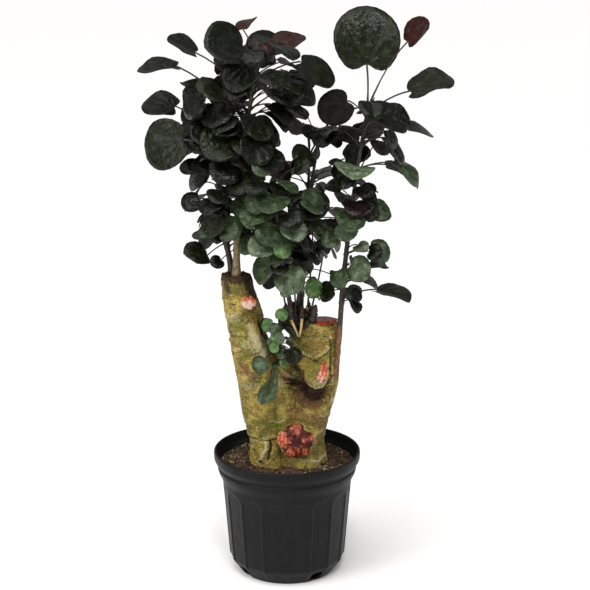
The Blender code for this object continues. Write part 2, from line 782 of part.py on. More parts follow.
def blade_mesh(leaf):
    """A thin lens: a rim round the outline, and a fan over and under it."""
    mesh = bmesh.new()
    rim = [mesh.verts.new(blade_point(leaf, angle)) for angle in rim_angles(BLADE_SIDES)]
    thick = leaf.normal * leaf.width * BLADE_THICK / 2
    for side in (thick, -thick):
        middle = mesh.verts.new(leaf.centre + side)
        for pair in zip(rim, rim[1:] + rim[:1]):
            mesh.faces.new((*pair, middle) if side == thick else (*reversed(pair), middle))
    return mesh


def make_shoot(name, shoot, leaves):
    """The bare foot of the shoot is its bough, and what lies above is its mass of foliage."""
    first = stem_share(shoot, shoot["leafy"])
    split = shoot["leafy"] - CLEARANCE / 2
    thin = between(*shoot["radii"], first)
    foot = stem_points(shoot, 0, first, 3)
    foot[0].z += CLEARANCE
    foot[-1].z = split
    radii = [between(shoot["radii"][0], thin, i / 3) for i in range(4)]
    bough = tube(foot, radii, STEM_SIDES, level_foot=True, level_tip=True)
    smooth(add_object("bough_" + name, bough, "shoot", 0.7), 60)
    upper = stem_points(shoot, first, 1, STEM_STEPS)
    upper[0].z = split + CLEARANCE
    radii = [between(thin, shoot["radii"][1], i / STEM_STEPS) for i in range(STEM_STEPS + 1)]
    mass = add_object("foliage_" + name, tube(upper, radii, STEM_SIDES, level_foot=True), "leaf", 0.4)
    pieces = []
    for number, leaf in enumerate(leaves):
        stalk = tube([leaf.root, leaf.elbow, leaf.sunk], PETIOLE_RADII, 3)
        pieces.append(add_object(f"stalk_{name}_{number}", stalk, "leaf", 0.4))
        pieces.append(add_object(f"blade_{name}_{number}", blade_mesh(leaf), "leaf", 0.4))
    fuse(mass, pieces, "MANIFOLD")


def main():
    clear_scene()
    make_pot()
    make_soil()
    make_trunk()
    make_limbs()
    make_seals()
    placed = plan_leaves()
    for name, shoot in SHOOTS.items():
        make_shoot(name, shoot, [leaf for owner, leaf in placed if owner == name])


if __name__ == "__main__":
    main()
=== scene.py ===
import math
import random

import bmesh
import bpy
from mathutils import Matrix, Vector, noise


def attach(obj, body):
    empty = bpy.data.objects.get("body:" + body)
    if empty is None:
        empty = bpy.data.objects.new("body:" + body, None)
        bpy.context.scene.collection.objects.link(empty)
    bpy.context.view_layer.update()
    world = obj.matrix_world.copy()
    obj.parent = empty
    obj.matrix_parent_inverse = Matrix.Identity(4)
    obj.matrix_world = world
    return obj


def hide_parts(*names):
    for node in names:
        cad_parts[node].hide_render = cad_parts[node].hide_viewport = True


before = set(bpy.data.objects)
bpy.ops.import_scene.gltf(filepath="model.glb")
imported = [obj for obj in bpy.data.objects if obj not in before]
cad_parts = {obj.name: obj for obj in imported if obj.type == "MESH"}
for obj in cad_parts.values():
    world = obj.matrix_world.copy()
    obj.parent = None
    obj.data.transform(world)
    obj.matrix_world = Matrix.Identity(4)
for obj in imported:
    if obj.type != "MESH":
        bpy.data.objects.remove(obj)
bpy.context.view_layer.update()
noise.seed_set(1)  # or noise_vector would differ from run to run
print("frame loaded:", len(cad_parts), "nodes")


def toLinear(hexColour):  # sRGB hex to the linear colour that shaders take
    parts = [int(hexColour[i:i + 2], 16) / 255 for i in (1, 3, 5)]
    return (*[p / 12.92 if p <= 0.04045 else ((p + 0.055) / 1.055) ** 2.4 for p in parts], 1.0)


def mix(low, high, share):
    return low + (high - low) * share


def ease(value):  # 0 to 1 with soft ends
    value = min(1.0, max(0.0, value))
    return value * value * (3 - 2 * value)


def bell(value):  # 1 at nought, falling away on both sides
    return math.exp(-(value ** 2))


def findSocket(sockets, name):
    found = [s for s in sockets if s.identifier == name] + [s for s in sockets if s.name == name]
    return found[0]


def addNode(tree, kind, settings, links=None):
    node = tree.nodes.new(kind)
    for name, value in settings.items():
        if name in node.bl_rna.properties:
            setattr(node, name, value)
        else:
            findSocket(node.inputs, name).default_value = value
    for name, source in (links or {}).items():
        tree.links.new(source, findSocket(node.inputs, name))
    return node


def startMaterial(name, base, roughness, **more):  # returns the material, its tree, shader and coordinates
    made = bpy.data.materials.new(name)
    made.use_nodes = True
    tree = made.node_tree
    shader = tree.nodes["Principled BSDF"]
    shader.inputs["Base Color"].default_value = toLinear(base)
    shader.inputs["Roughness"].default_value = roughness
    for socket, value in more.items():
        findSocket(shader.inputs, socket.replace("_", " ")).default_value = value
    place = addNode(tree, "ShaderNodeTexCoord", {}).outputs["Object"]
    return made, tree, shader, place


def blendColours(tree, factor, under, over):  # a colour is a hex value or a socket
    settings, links = {"data_type": "RGBA"}, {"Factor_Float": factor}
    for name, colour in (("A_Color", under), ("B_Color", over)):
        if isinstance(colour, str):
            settings[name] = toLinear(colour)
        else:
            links[name] = colour
    return findSocket(addNode(tree, "ShaderNodeMix", settings, links).outputs, "Result_Color")


def cloudField(tree, place, size, detail, stretch=(1, 1, 1), shift=0.0):  # size in mm
    spot = addNode(tree, "ShaderNodeMapping", {"Scale": stretch, "Location": (shift,) * 3}, {"Vector": place})
    settings = {"Scale": 1000 / size, "Detail": detail}
    return addNode(tree, "ShaderNodeTexNoise", settings, {"Vector": spot.outputs[0]}).outputs[0]


def patchMask(tree, place, size, low, high, detail=2.0, **more):  # 0 below low, 1 above high
    limits, field = {"From Min": low, "From Max": high}, cloudField(tree, place, size, detail, **more)
    return addNode(tree, "ShaderNodeMapRange", limits, {"Value": field}).outputs[0]


def addPatches(tree, place, under, over, size, low, high, **more):
    return blendColours(tree, patchMask(tree, place, size, low, high, **more), under, over)


def addStains(tree, place, colour, stains, edges, ragged, reach):  # each by the mesh's numbers of its name
    for name, tint, grain, keep, shift in stains:
        held = addNode(tree, "ShaderNodeAttribute", {"attribute_name": name}).outputs["Fac"]
        grit = patchMask(tree, place, grain, *edges, shift=shift, detail=4.0)
        worn = addNode(
            tree, "ShaderNodeMath", {"operation": "MULTIPLY_ADD", "Value_001": ragged},
            {"Value": grit, "Value_002": held},
        )
        limits = {"From Min": reach[0], "From Max": reach[1], "To Max": keep}
        share = addNode(tree, "ShaderNodeMapRange", limits, {"Value": worn.outputs[0]})
        colour = blendColours(tree, share.outputs[0], colour, tint)
    return colour


def addRelief(tree, shader, place, size, depth, strength=1.0, detail=3.0, stretch=(1, 1, 1)):  # both in mm
    links = {"Height": cloudField(tree, place, size, detail, stretch)}
    if shader.inputs["Normal"].is_linked:
        links["Normal"] = shader.inputs["Normal"].links[0].from_socket
    bump = addNode(tree, "ShaderNodeBump", {"Strength": strength, "Distance": depth / 1000}, links)
    tree.links.new(bump.outputs["Normal"], shader.inputs["Normal"])


def addObject(name, data):
    made = bpy.data.objects.new(name, data)
    bpy.context.scene.collection.objects.link(made)
    return made


def asData(mesh, name):
    data = bpy.data.meshes.new(name)
    mesh.to_mesh(data)
    mesh.free()
    return data


def finishPiece(mesh, name, materials, replaced=()):
    data = asData(mesh, name)
    for material in materials:
        data.materials.append(material)
    data.shade_smooth()
    piece = addObject(name, data)
    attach(piece, "root")
    if replaced:
        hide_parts(*replaced)
    return piece


def applyModifiers(piece):
    bpy.context.view_layer.update()
    made = bpy.data.meshes.new_from_object(piece.evaluated_get(bpy.context.evaluated_depsgraph_get()))
    piece.modifiers.clear()
    piece.data = made


def giveNumbers(piece, name, numbers):  # a value for each point, for the material to read
    piece.data.attributes.new(name, "FLOAT", "POINT").data.foreach_set("value", numbers)


def turnOut(mesh):  # all faces outwards
    bmesh.ops.recalc_face_normals(mesh, faces=mesh.faces)


def drawLine(mesh, points):
    verts = [mesh.verts.new(point) for point in points]
    return [mesh.edges.new(pair) for pair in zip(verts, verts[1:])]


def spinRound(mesh, steps, merge=1e-6):  # a full turn about Z
    bmesh.ops.spin(
        mesh, geom=list(mesh.verts) + list(mesh.edges), axis=(0, 0, 1), cent=(0, 0, 0),
        steps=steps, angle=math.tau, use_merge=True,
    )
    bmesh.ops.remove_doubles(mesh, verts=mesh.verts, dist=merge)


def frameAt(point, direction):  # Z runs along the direction
    turn = Vector(direction).to_track_quat("Z", "Y").to_matrix().to_4x4()
    return Matrix.Translation(point) @ turn


def bridgeRings(mesh, rings):  # each ring of new points is joined to the one before, and the ends are filled
    loops = [list({edge for vert in ring for edge in vert.link_edges}) for ring in rings]
    for lower, upper in zip(loops, loops[1:]):
        bmesh.ops.bridge_loops(mesh, edges=lower + upper)
    for loop in (loops[0], loops[-1]):
        bmesh.ops.contextual_create(mesh, geom=loop)


def addTube(mesh, points, radii, sides):
    points = [Vector(point) for point in points]
    ways = [after - before for before, after in zip(points[:1] + points, points[1:] + points[-1:])]
    rings = []
    for point, way, radius in zip(points, ways, radii):
        made = bmesh.ops.create_circle(mesh, segments=sides, radius=radius, matrix=frameAt(point, way))
        rings.append(made["verts"])
    bridgeRings(mesh, rings)


# camera, light and floor

studio = dict(
    cameraAt=(0.0146, -3.0, 1.319), cameraPitch=75.09, lens=106.1,
    floorSize=400, floorColour="#fdfcfb", worldColour="#ffffff", worldStrength=0.32,
    lights={  # its kind, where it stands, what it points at, its size (a sun's spread, degrees) and its power
        "leftSoftbox": ("AREA", (-2.2, -1.9, 1.5), (0.0, 0.0, 0.5), 1.1, 26),
        "rightSoftbox": ("AREA", (2.6, -0.4, 1.4), (0.0, 0.0, 0.5), 0.9, 12),
        "frontSoftbox": ("AREA", (0.2, -2.6, 3.4), (0.0, 0.0, 0.8), 0.55, 34),
        "skylight": ("SUN", (0.0, 0.0, 0.0), (0.28, 0.42, -1.0), 75, 2.55),
    },
)


def buildStudio():
    scene = bpy.context.scene
    scene.view_settings.view_transform = "Standard"
    camera = addObject("camera", bpy.data.cameras.new("camera"))
    camera.data.lens = studio["lens"]
    camera.data.sensor_width = 36
    camera.location = studio["cameraAt"]
    camera.rotation_euler = (math.radians(studio["cameraPitch"]), 0, 0)
    scene.camera = camera
    world = bpy.data.worlds.new("studioAir")
    world.use_nodes = True
    air = world.node_tree.nodes.get("Background") or world.node_tree.nodes.new("ShaderNodeBackground")
    air.inputs["Color"].default_value = toLinear(studio["worldColour"])
    air.inputs["Strength"].default_value = studio["worldStrength"]
    scene.world = world
    for name, (kind, at, aim, spread, power) in studio["lights"].items():
        light = addObject(name, bpy.data.lights.new(name, kind))
        if kind == "SUN":
            light.data.angle = math.radians(spread)
        else:
            light.data.size = spread
        light.data.energy = power
        light.location = at
        light.rotation_euler = (Vector(aim) - Vector(at)).to_track_quat("-Z", "Y").to_euler()
    mesh = bmesh.new()
    bmesh.ops.create_grid(mesh, x_segments=2, y_segments=2, size=studio["floorSize"])
    floor = addObject("floor", asData(mesh, "floor"))
    floor.data.materials.append(startMaterial("paleFloor", studio["floorColour"], 0.9)[0])


buildStudio()
print("studio set up")


# the nursery pot, metres

pot = dict(
    section=(  # radius, height and rounding of each corner, up the outside and down the inside
        (0.0, 0.0, 0), (0.085, 0.0, 0.003), (0.106, 0.028, 0.003), (0.1178, 0.175, 0.002),
        (0.1205, 0.181, 0.002), (0.1250, 0.190, 0.003), (0.1268, 0.1970, 0.0012), (0.1248, 0.2005, 0.0010),
        (0.1264, 0.2040, 0.0008), (0.1325, 0.2125, 0.003), (0.1335, 0.2175, 0.002), (0.1335, 0.2275, 0.002),
        (0.1319, 0.230, 0.001), (0.1293, 0.2294, 0.001), (0.1267, 0.2145, 0.003), (0.1237, 0.2065, 0.003),
        (0.1133, 0.175, 0.001), (0.1015, 0.030, 0), (0.082, 0.003, 0), (0.0, 0.003, 0),
    ),
    roundSteps=4, skin=0.0012, panels=16, stepsPerPanel=30, wallRows=64,
    panelDepth=0.0013, panelFlat=0.0011, panelTop=0.163, ridgeHalf=0.0024, flank=0.0015, archRound=0.014,
    notch=(0.038, 0.024, 0.030), notchRound=0.006, notchAt=(0.1015, 0, 0.0055),
    notchBearings=(-55, 35, 125, 215), creaseAngle=45,
)


def blowMouldedPlastic():
    # matte black polyethylene: a soft grey sheen at the edges, a fine skin and pale rub marks
    made, tree, shader, place = startMaterial(
        "blowMouldedPlastic", "#0f0f10", 0.46, IOR=1.5, Specular_IOR_Level=0.16,
    )
    rubbed = addPatches(tree, place, "#0c0c0d", "#121214", 40, 0.35, 0.7, detail=4.0)
    height = addNode(tree, "ShaderNodeSeparateXYZ", {}, {"Vector": place}).outputs["Z"]
    lipBand = {"From Min": 0.172, "From Max": 0.186, "To Max": 0.55}
    wiped = addNode(tree, "ShaderNodeMapRange", lipBand, {"Value": height})
    rubbed = blendColours(tree, wiped.outputs[0], rubbed, "#070708")  # hands keep the lip and the band clean
    dust = patchMask(tree, place, 3.0, 0.60, 0.78, stretch=(1, 1, 0.12), shift=0.3, detail=5.0)
    tree.links.new(blendColours(tree, dust, rubbed, "#1c1c1b"), shader.inputs["Base Color"])
    rough = patchMask(tree, place, 12, 0.3, 0.8, shift=0.7, detail=4.0)
    spread = addNode(tree, "ShaderNodeMapRange", {"To Min": 0.42, "To Max": 0.56}, {"Value": rough})
    tree.links.new(spread.outputs[0], shader.inputs["Roughness"])
    addRelief(tree, shader, place, 9, 0.35, 0.5)
    addRelief(tree, shader, place, 0.9, 0.05, 0.5)
    return made


def wallRadius(height):  # of the body, from its foot to its top
    (footRadius, footTop, _), (bodyRadius, bodyTop, _) = pot["section"][2:4]
    return mix(footRadius, bodyRadius, (height - footTop) / (bodyTop - footTop))


def panelSink(angle, radius, height):  # how far a point of the wall lies back from the ridges' circle
    wedge = math.tau / pot["panels"]
    across = abs(math.remainder(angle - wedge / 2, wedge)) * radius
    half = wedge / 2 * radius
    side = half - pot["ridgeHalf"] - across
    top = pot["panelTop"] - height
    corner = pot["archRound"]
    inside = min(side, top)
    if side < corner and top < corner:
        inside = corner - math.hypot(corner - side, corner - top)
    return ease(inside / pot["flank"]) * (pot["panelDepth"] + pot["panelFlat"] * (1 - (across / half) ** 2))


def roundedSection(section):  # each corner becomes a short curve
    rounded = []
    for number, (radius, height, rounding) in enumerate(section):
        corner = Vector((radius, 0, height))
        if not rounding:
            rounded.append(corner)
            continue
        ends = []
        for other in (section[number - 1], section[number + 1]):
            way = Vector((other[0], 0, other[1])) - corner
            ends.append(corner + way.normalized() * min(rounding, way.length * 0.45))
        for i in range(pot["roundSteps"] + 1):
            share = i / pot["roundSteps"]
            rounded.append(ends[0].lerp(corner, share).lerp(corner.lerp(ends[1], share), share))
    return rounded


def cutNotches(piece):  # the drainage notches round the foot
    cutters = []
    for bearing in pot["notchBearings"]:
        spot = Matrix.Rotation(math.radians(bearing), 4, "Z") @ Matrix.Translation(pot["notchAt"])
        mesh = bmesh.new()
        bmesh.ops.create_cube(mesh, size=1, matrix=spot @ Matrix.Diagonal((*pot["notch"], 1)))
        bmesh.ops.bevel(
            mesh, geom=mesh.edges, offset=pot["notchRound"], segments=4, profile=0.5, affect="EDGES",
            material=-1,
        )
        cutters.append(addObject("notch", asData(mesh, "notch")))
        cut = piece.modifiers.new("notch", "BOOLEAN")
        cut.object, cut.operation, cut.solver = cutters[-1], "DIFFERENCE", "EXACT"
    applyModifiers(piece)
    for cutter in cutters:
        bpy.data.objects.remove(cutter, do_unlink=True)


def buildPot():
    mesh = bmesh.new()
    edges = drawLine(mesh, roundedSection(pot["section"]))
    wall = next(edge for edge in edges if edge.calc_length() > 0.1)  # the body's outside
    bmesh.ops.subdivide_edges(mesh, edges=[wall], cuts=pot["wallRows"])
    spinRound(mesh, pot["panels"] * pot["stepsPerPanel"])
    for vert in mesh.verts:
        radius = vert.co.xy.length
        footRoom = 0.004 * (vert.co.z < 0.03)
        if vert.co.z < 0.001 or radius < wallRadius(vert.co.z) - pot["skin"] - footRoom:
            continue
        sink = panelSink(math.atan2(vert.co.y, vert.co.x), radius, vert.co.z)
        vert.co.xy *= 1 - sink / radius
    turnOut(mesh)
    piece = finishPiece(mesh, "potShell", [blowMouldedPlastic()], ("pot",))
    cutNotches(piece)
    piece.data.shade_smooth()
    piece.data.set_sharp_from_angle(angle=math.radians(pot["creaseAngle"]))


buildPot()
print("pot turned")


# the potting mix, metres

soil = dict(
    top=0.2072, radius=0.1226, rings=72, columns=240,
    sides=((0.1226, 0.1952), (0.1085, 0.165), (0.082, 0.026), (0.0, 0.026)),  # radius and height, downwards
    mound=(0.0035, 0.112, 0.04), dip=(0.002, 0.108, 0.012),  # how deep, from which radius and over what run
    clods=(0.0024, 14), crumb=(0.0011, 3.4),  # how deep, and how wide in mm
)
crumbs = dict(
    count=1300, fibres=150, size=(0.0008, 0.0030), inside=0.30, margin=0.003, sunk=0.25, rough=(0.35, 900),
    chip=(1.3, 1, 0.8), fibre=(0.7, 0.5), fibreLong=(2.2, 4.0),  # how far it is stretched along its axes
    kinds=((0.58, 0.34, 0.08), (0.10, 0.55, 0.35)),  # shares of peat, bark and grit, in chips and in fibres
    spill=dict(count=34, middle=(0.070, -0.047), spread=(0.016, 0.007)),  # pale grit heaped by the right foot
)


def pottingMix(name, base, light, dark):
    # damp peat and bark fines: dull, dark and crumbly, with reddish bits
    made, tree, shader, place = startMaterial(name, base, 0.92, IOR=1.4)
    colour = addPatches(tree, place, dark, base, 9, 0.38, 0.60, detail=5.0)
    colour = addPatches(tree, place, colour, light, 3.2, 0.58, 0.72, shift=0.4, detail=4.0)
    tree.links.new(colour, shader.inputs["Base Color"])
    addRelief(tree, shader, place, 1.6, 0.9, 0.8, detail=5.0)
    return made


def mixHeight(x, y):  # the mix's surface: heaped a little round the stump, lower at the wall
    radius = math.hypot(x, y)
    spot = Vector((x, y, 0))
    (mound, moundEdge, moundRun), (dip, dipEdge, dipRun) = soil["mound"], soil["dip"]
    heap = mound * ease((moundEdge - radius) / moundRun) - dip * ease((radius - dipEdge) / dipRun)
    (clod, clodSize), (crumb, crumbSize) = soil["clods"], soil["crumb"]
    clods = clod * noise.noise(spot * 1000 / clodSize)
    return soil["top"] + heap + clods + crumb * noise.noise(spot * 1000 / crumbSize + Vector((7, 3, 1)))


def buildSoil():
    mesh = bmesh.new()
    step = soil["radius"] / soil["rings"]
    section = [(i * step, soil["top"]) for i in range(soil["rings"] + 1)] + list(soil["sides"])
    drawLine(mesh, [(radius, 0, height) for radius, height in section])
    spinRound(mesh, soil["columns"])
    for vert in mesh.verts:
        if vert.co.z > soil["top"] - 0.001:
            vert.co.z = mixHeight(vert.co.x, vert.co.y)
    turnOut(mesh)
    peat = pottingMix("pottingMix", "#4a3722", "#7a5c3c", "#2a1d11")
    finishPiece(mesh, "pottingMix", [peat], ("soil",))


def buildCrumbs():
    draw = random.Random("crumbs")
    mesh = bmesh.new()
    spill, (rough, roughness) = crumbs["spill"], crumbs["rough"]
    for number in range(crumbs["count"]):
        radius = math.sqrt(draw.uniform(crumbs["inside"], 1.0)) * (soil["radius"] - crumbs["margin"])
        angle = draw.uniform(0, math.tau)
        size = mix(*crumbs["size"], draw.random() ** 2)
        x, y = radius * math.cos(angle), radius * math.sin(angle)
        spilt = number >= crumbs["count"] - spill["count"]
        if spilt:
            x, y = (draw.gauss(middle, spread) for middle, spread in zip(spill["middle"], spill["spread"]))
        spot = Matrix.Translation((x, y, mixHeight(x, y) + size * crumbs["sunk"]))
        spin = Matrix.Rotation(draw.uniform(0, math.tau), 4, Vector((draw.gauss(0, 1), draw.gauss(0, 1), 1)))
        long = number < crumbs["fibres"]
        stretch = (draw.uniform(*crumbs["fibreLong"]), *crumbs["fibre"]) if long else crumbs["chip"]
        shape = spot @ spin @ Matrix.Diagonal((*stretch, 1))
        made = bmesh.ops.create_icosphere(mesh, subdivisions=1, radius=size, matrix=shape)
        kind = 2 if spilt else draw.choices((0, 1, 2), crumbs["kinds"][long])[0]
        for vert in made["verts"]:
            vert.co += noise.noise_vector(vert.co * roughness) * size * rough
            for face in vert.link_faces:
                face.material_index = kind
    looks = [
        pottingMix("peatCrumb", "#33261a", "#4c3826", "#1d140c"),
        pottingMix("barkChip", "#5a3a26", "#84603f", "#3a2416"),
        pottingMix("paleGrit", "#8f8163", "#b3a689", "#6d5f45"),
    ]
    finishPiece(mesh, "mixCrumbs", looks)


buildSoil()
buildCrumbs()
print("potting mix filled in")


# the old stump, metres; a section is its height, centre and half widths

stump = dict(
    soilLevel=0.2075, sides=40, rowHeight=0.008, voxel=0.0016, smoothRounds=2,
    columns={
        "left": dict(lobes=3, turn=20, sections=(
            (0.205, -0.031, 0.002, 0.037, 0.050), (0.250, -0.031, 0.001, 0.038, 0.047),
            (0.300, -0.0435, 0.000, 0.039, 0.043), (0.352, -0.0505, -0.001, 0.0385, 0.042),
            (0.412, -0.0615, -0.002, 0.0385, 0.041), (0.455, -0.0715, -0.003, 0.0325, 0.037),
            (0.492, -0.0785, -0.004, 0.0345, 0.034), (0.539, -0.0880, -0.004, 0.0280, 0.030),
            (0.562, -0.0905, -0.004, 0.0285, 0.029),
        )),
        "right": dict(lobes=4, turn=50, sections=(
            (0.205, 0.031, 0.000, 0.039, 0.052), (0.250, 0.029, 0.000, 0.038, 0.049),
            (0.300, 0.038, 0.000, 0.039, 0.046), (0.352, 0.048, 0.000, 0.044, 0.045),
            (0.412, 0.051, 0.000, 0.0445, 0.044), (0.455, 0.0495, 0.001, 0.0455, 0.045),
            (0.477, 0.046, 0.002, 0.0485, 0.046),
        )),
        "web": dict(lobes=2, turn=0, sections=(
            (0.205, -0.002, 0.004, 0.040, 0.044), (0.300, -0.004, 0.004, 0.034, 0.040),
            (0.394, -0.008, 0.004, 0.024, 0.030),
        )),
    },
    flare=(0.11, 0.015), cutEdge=(0.10, 0.0016), lobe=0.025, rootLobes=5,  # how much, and over what height
    stubs={  # centre of the sawn face, which way it looks, radius and length
        "base": ((0.016, -0.064, 0.266), (0.02, -1.0, 0.10), 0.027, 0.034),
        "knob": ((0.055, -0.0700, 0.386), (0.22, -0.95, 0.02), 0.0200, 0.048),
        "left": ((-0.067, -0.040, 0.517), (0.15, -0.85, 0.42), 0.013, 0.028),
    },
    stubBacks=(0.014, 0.006, 0.001, -0.002), stubSwells=(1.20, 0.90, 1.10, 1.06, 0.82, 0.45), stubSides=28,
    saddle=dict(middle=(-0.007, 0.004, 0.378), half=0.027, rise=0.034, radius=0.018, steps=8, sides=24),
    topTilt=0.15, tiltFrom=-0.040,  # the right cut falls away to the back
    lumps=(28, 1.7), knuckles=(11, 0.9), pebbles=(4.6, 0.62), wrinkles=(20, 2.8, 0.85),  # size and depth, mm
    cuts={  # how deep the bare wood shows under the cut, how torn it is and how broken the edge
        "left": (0.016, 1.0, 0.006), "right": (0.003, 0.5, 0.0012),
    },
    leftOf=-0.02, markReach=2.4, wander=((9, 1.8), (3.5, 0.5)), uneven=(5, 0.5),
)

# what has marked the bark, and where painted shade is laid, mm: the stain it leaves, half width, depth,
# strength and its course
barkMarks = (
    ("dark", 1.0, 1.5, 0.75, (-68, 262), (-45, 261), (-20, 262)),
    ("pale", 2.4, -1.0, 0.20, (-70, 266), (-45, 265), (-22, 266)),
    ("dark", 2.3, 4.2, 0.9, (-30, 260), (-28, 250), (-31, 240), (-34, 226)),
    ("pale", 3.0, -3.8, 0.55, (-37, 259), (-36, 247), (-41, 236), (-47, 221)),
    ("dark", 2.4, 3.0, 0.95, (-46, 222), (-48, 219)),
    ("dark", 1.6, 1.0, 0.40, (-56, 258), (-58, 240), (-56, 222)),
    ("dark", 0.9, 1.2, 0.65, (27, 456), (50, 457), (72, 455)),
    ("dark", 1.2, 1.8, 0.70, (24, 421), (38, 414), (52, 410), (77, 426)),
    ("pale", 3.0, -1.8, 0.22, (24, 427), (38, 420), (52, 417), (76, 433)),
    ("dark", 0.8, 0.8, 0.40, (20, 437), (44, 434), (70, 440)),
    ("dark", 1.4, 2.8, 0.85, (78, 447), (80, 430), (78, 412), (79, 388)),
    ("pale", 2.0, -1.0, 0.85, (78, 450), (78, 451)),
    ("brown", 5.0, 5.0, 0.80, (-10, 378), (8, 368), (22, 358)),
    # the hollow under the knob: sunk 15 mm and darkened with painted shade
    ("hollowShade", 13.0, 15.0, 1.15, (23, 363), (34, 354), (46, 346), (60, 347)),
    ("brown", 9.0, 3.0, 1.0, (26, 338), (44, 328), (60, 329)),
    ("dark", 2.6, 4.0, 0.95, (34, 364), (54, 360), (74, 367)),
    ("dark", 1.6, 1.6, 0.75, (74, 366), (79, 378), (77, 396)),
    ("brown", 3.6, -3.0, 0.75, (12, 346), (26, 333), (50, 321)),
    ("brown", 1.6, -3.5, 0.60, (26, 352), (38, 343), (52, 341)),
    ("pale", 3.2, -2.8, 0.30, (-8, 388), (6, 376), (20, 368)),
    # a smaller hollow by the knob, sunk and darkened with painted shade
    ("hollowShade", 6.0, 3.2, 0.75, (12, 396), (24, 388), (32, 374)),
    ("dark", 1.0, 1.2, 0.50, (-102, 434), (-84, 433), (-68, 430)),
    ("brown", 4.0, -2.0, 0.35, (-101, 439), (-86, 438)),
    ("brown", 7.0, 0.6, 0.80, (-76, 396), (-70, 388), (-62, 381)),
    ("pale", 6.5, -0.5, 0.70, (-60, 458), (-52, 440), (-42, 420)),
    ("pale", 5.0, -0.3, 0.45, (-66, 474), (-62, 462)),
    ("green", 8.0, 0.0, 0.60, (-92, 482), (-88, 462), (-82, 442)),
    ("dark", 2.2, 2.6, 0.95, (-50, 479), (-44, 458), (-34, 439)),
    ("dark", 1.6, 1.6, 0.55, (-74, 511), (-67, 502), (-60, 505)),
    ("dark", 2.0, 1.0, 0.50, (-80, 500), (-74, 494)),
    ("green", 10.0, 0.0, 0.65, (-14, 302), (-28, 290), (2, 284)),
    ("pale", 2.0, -1.0, 0.40, (-30, 296), (-16, 292), (-4, 296)),
    ("brown", 11.0, 0.0, 0.50, (10, 316), (40, 306), (60, 292)),
    ("brown", 3.0, -2.4, 0.70, (8, 292), (18, 303), (32, 300)),
    ("brown", 6.0, 0.0, 0.85, (92, 470), (94, 420), (90, 370)),
    ("green", 8.0, 0.0, 0.35, (38, 232), (52, 238), (66, 230)),
    ("pale", 3.0, -1.8, 0.30, (-4, 238), (14, 227), (34, 224)),
    ("pale", 3.0, -1.6, 0.50, (44, 222), (58, 219), (70, 223)),
    ("pale", 2.2, -1.8, 0.60, (-14, 272), (-10, 252), (4, 234)),
    ("pale", 1.8, -1.2, 0.35, (30, 236), (46, 250), (50, 268)),
    ("pale", 2.2, -1.6, 0.80, (38, 371), (52, 365), (68, 368)),
    ("green", 6.0, -0.3, 0.75, (40, 392), (48, 398), (52, 404)),
    ("pale", 5.0, -0.6, 0.42, (50, 378), (60, 374), (66, 380)),
    ("sawnWoodAndShade", 12.0, 0.8, 1.0, (-6, 476), (8, 468), (20, 478)),
    # painted shadow: dark brown down the shaded left side of the right limb, below its cut
    ("sawnWoodAndShade", 6.0, 1.2, 0.85, (-2, 458), (3, 440), (5, 424)),
    ("sawnWoodAndShade", 9.0, 2.2, 1.2, (-60, 556), (-61, 540), (-58, 526)),
    ("sawnWoodAndShade", 4.0, 1.2, 0.9, (-72, 552), (-70, 540)),
    ("sawnWoodAndShade", 5.0, 0.8, 0.8, (-108, 548), (-104, 536)),
    ("dark", 1.6, 3.0, 0.9, (-68, 556), (-66, 544)),
    ("dark", 1.4, 2.4, 0.8, (-100, 560), (-99, 548)),
)
moreMarks = dict(
    count=60, spread=(-62, 242), heights=(222, 540), scarWidth=(10, 30), leftAbove=470, aside=16, drop=3,
    kinds={"scar": 0.34, "crack": 0.10, "green": 0.22, "pale": 0.16, "brown": 0.18},
    much=(0.3, 0.6), paler=0.55,
)
stainNames = ("green", "brown", "pale", "sawnWoodAndShade", "creviceShade", "dark", "hollowShade")


def wornBark():
    # old aralia bark: corky and matt, khaki with olive algae, tan rubs, pale lichen and near-black cracks,
    # with painted shade in its crevices and hollows
    made, tree, shader, place = startMaterial("wornBark", "#7c6c3c", 0.66, IOR=1.45, Specular_IOR_Level=0.30)
    colour = "#6a5a20"
    for over, size, low, high, tall, shift, detail in (
        ("#aa9444", 34, 0.43, 0.59, 1, 0.0, 5.0), ("#5e5c1c", 20, 0.50, 0.68, 1, 0.31, 6.0),
        ("#6b4a22", 15, 0.55, 0.72, 1, 0.57, 6.0), ("#b3a25a", 6.5, 0.56, 0.70, 1.7, 0.83, 6.0),
        ("#382b10", 3.8, 0.55, 0.67, 1.3, 1.07, 5.0),
    ):
        more = dict(stretch=(1, 1, tall), shift=shift, detail=detail)
        colour = addPatches(tree, place, colour, over, size, low, high, **more)
    stains = (
        ("green", "#666b20", 5, 0.70, 1.85), ("brown", "#62391f", 4, 0.82, 1.85),
        # the sawn stain is bare cut wood, and painted shadow on the right limb's left side
        ("pale", "#cfc69e", 2.2, 0.85, 1.48), ("sawnWoodAndShade", "#2f1d10", 3, 0.95, 1.48),
        # the crevice stain is painted shade, darkening the grain's low spots
        ("creviceShade", "#251c0b", 2, 0.88, 2.59), ("dark", "#1c140c", 2, 0.96, 1.48),
        # the hollow stain is painted shade in the hollows
        ("hollowShade", "#27150f", 10, 0.95, 2.22),
    )
    colour = addStains(tree, place, colour, stains, (0.30, 0.62), 0.45, (0.36, 1.10))
    tree.links.new(colour, shader.inputs["Base Color"])
    addRelief(tree, shader, place, 2.6, 1.6, 0.9, detail=6.0)
    addRelief(tree, shader, place, 9, 1.0, 0.4, detail=4.0, stretch=(1, 1, 3.5))
    return made


def sectionAt(sections, height):
    for low, high in zip(sections, sections[1:]):
        if height <= high[0]:
            break
    return Vector(low).lerp(Vector(high), (height - low[0]) / (high[0] - low[0]))


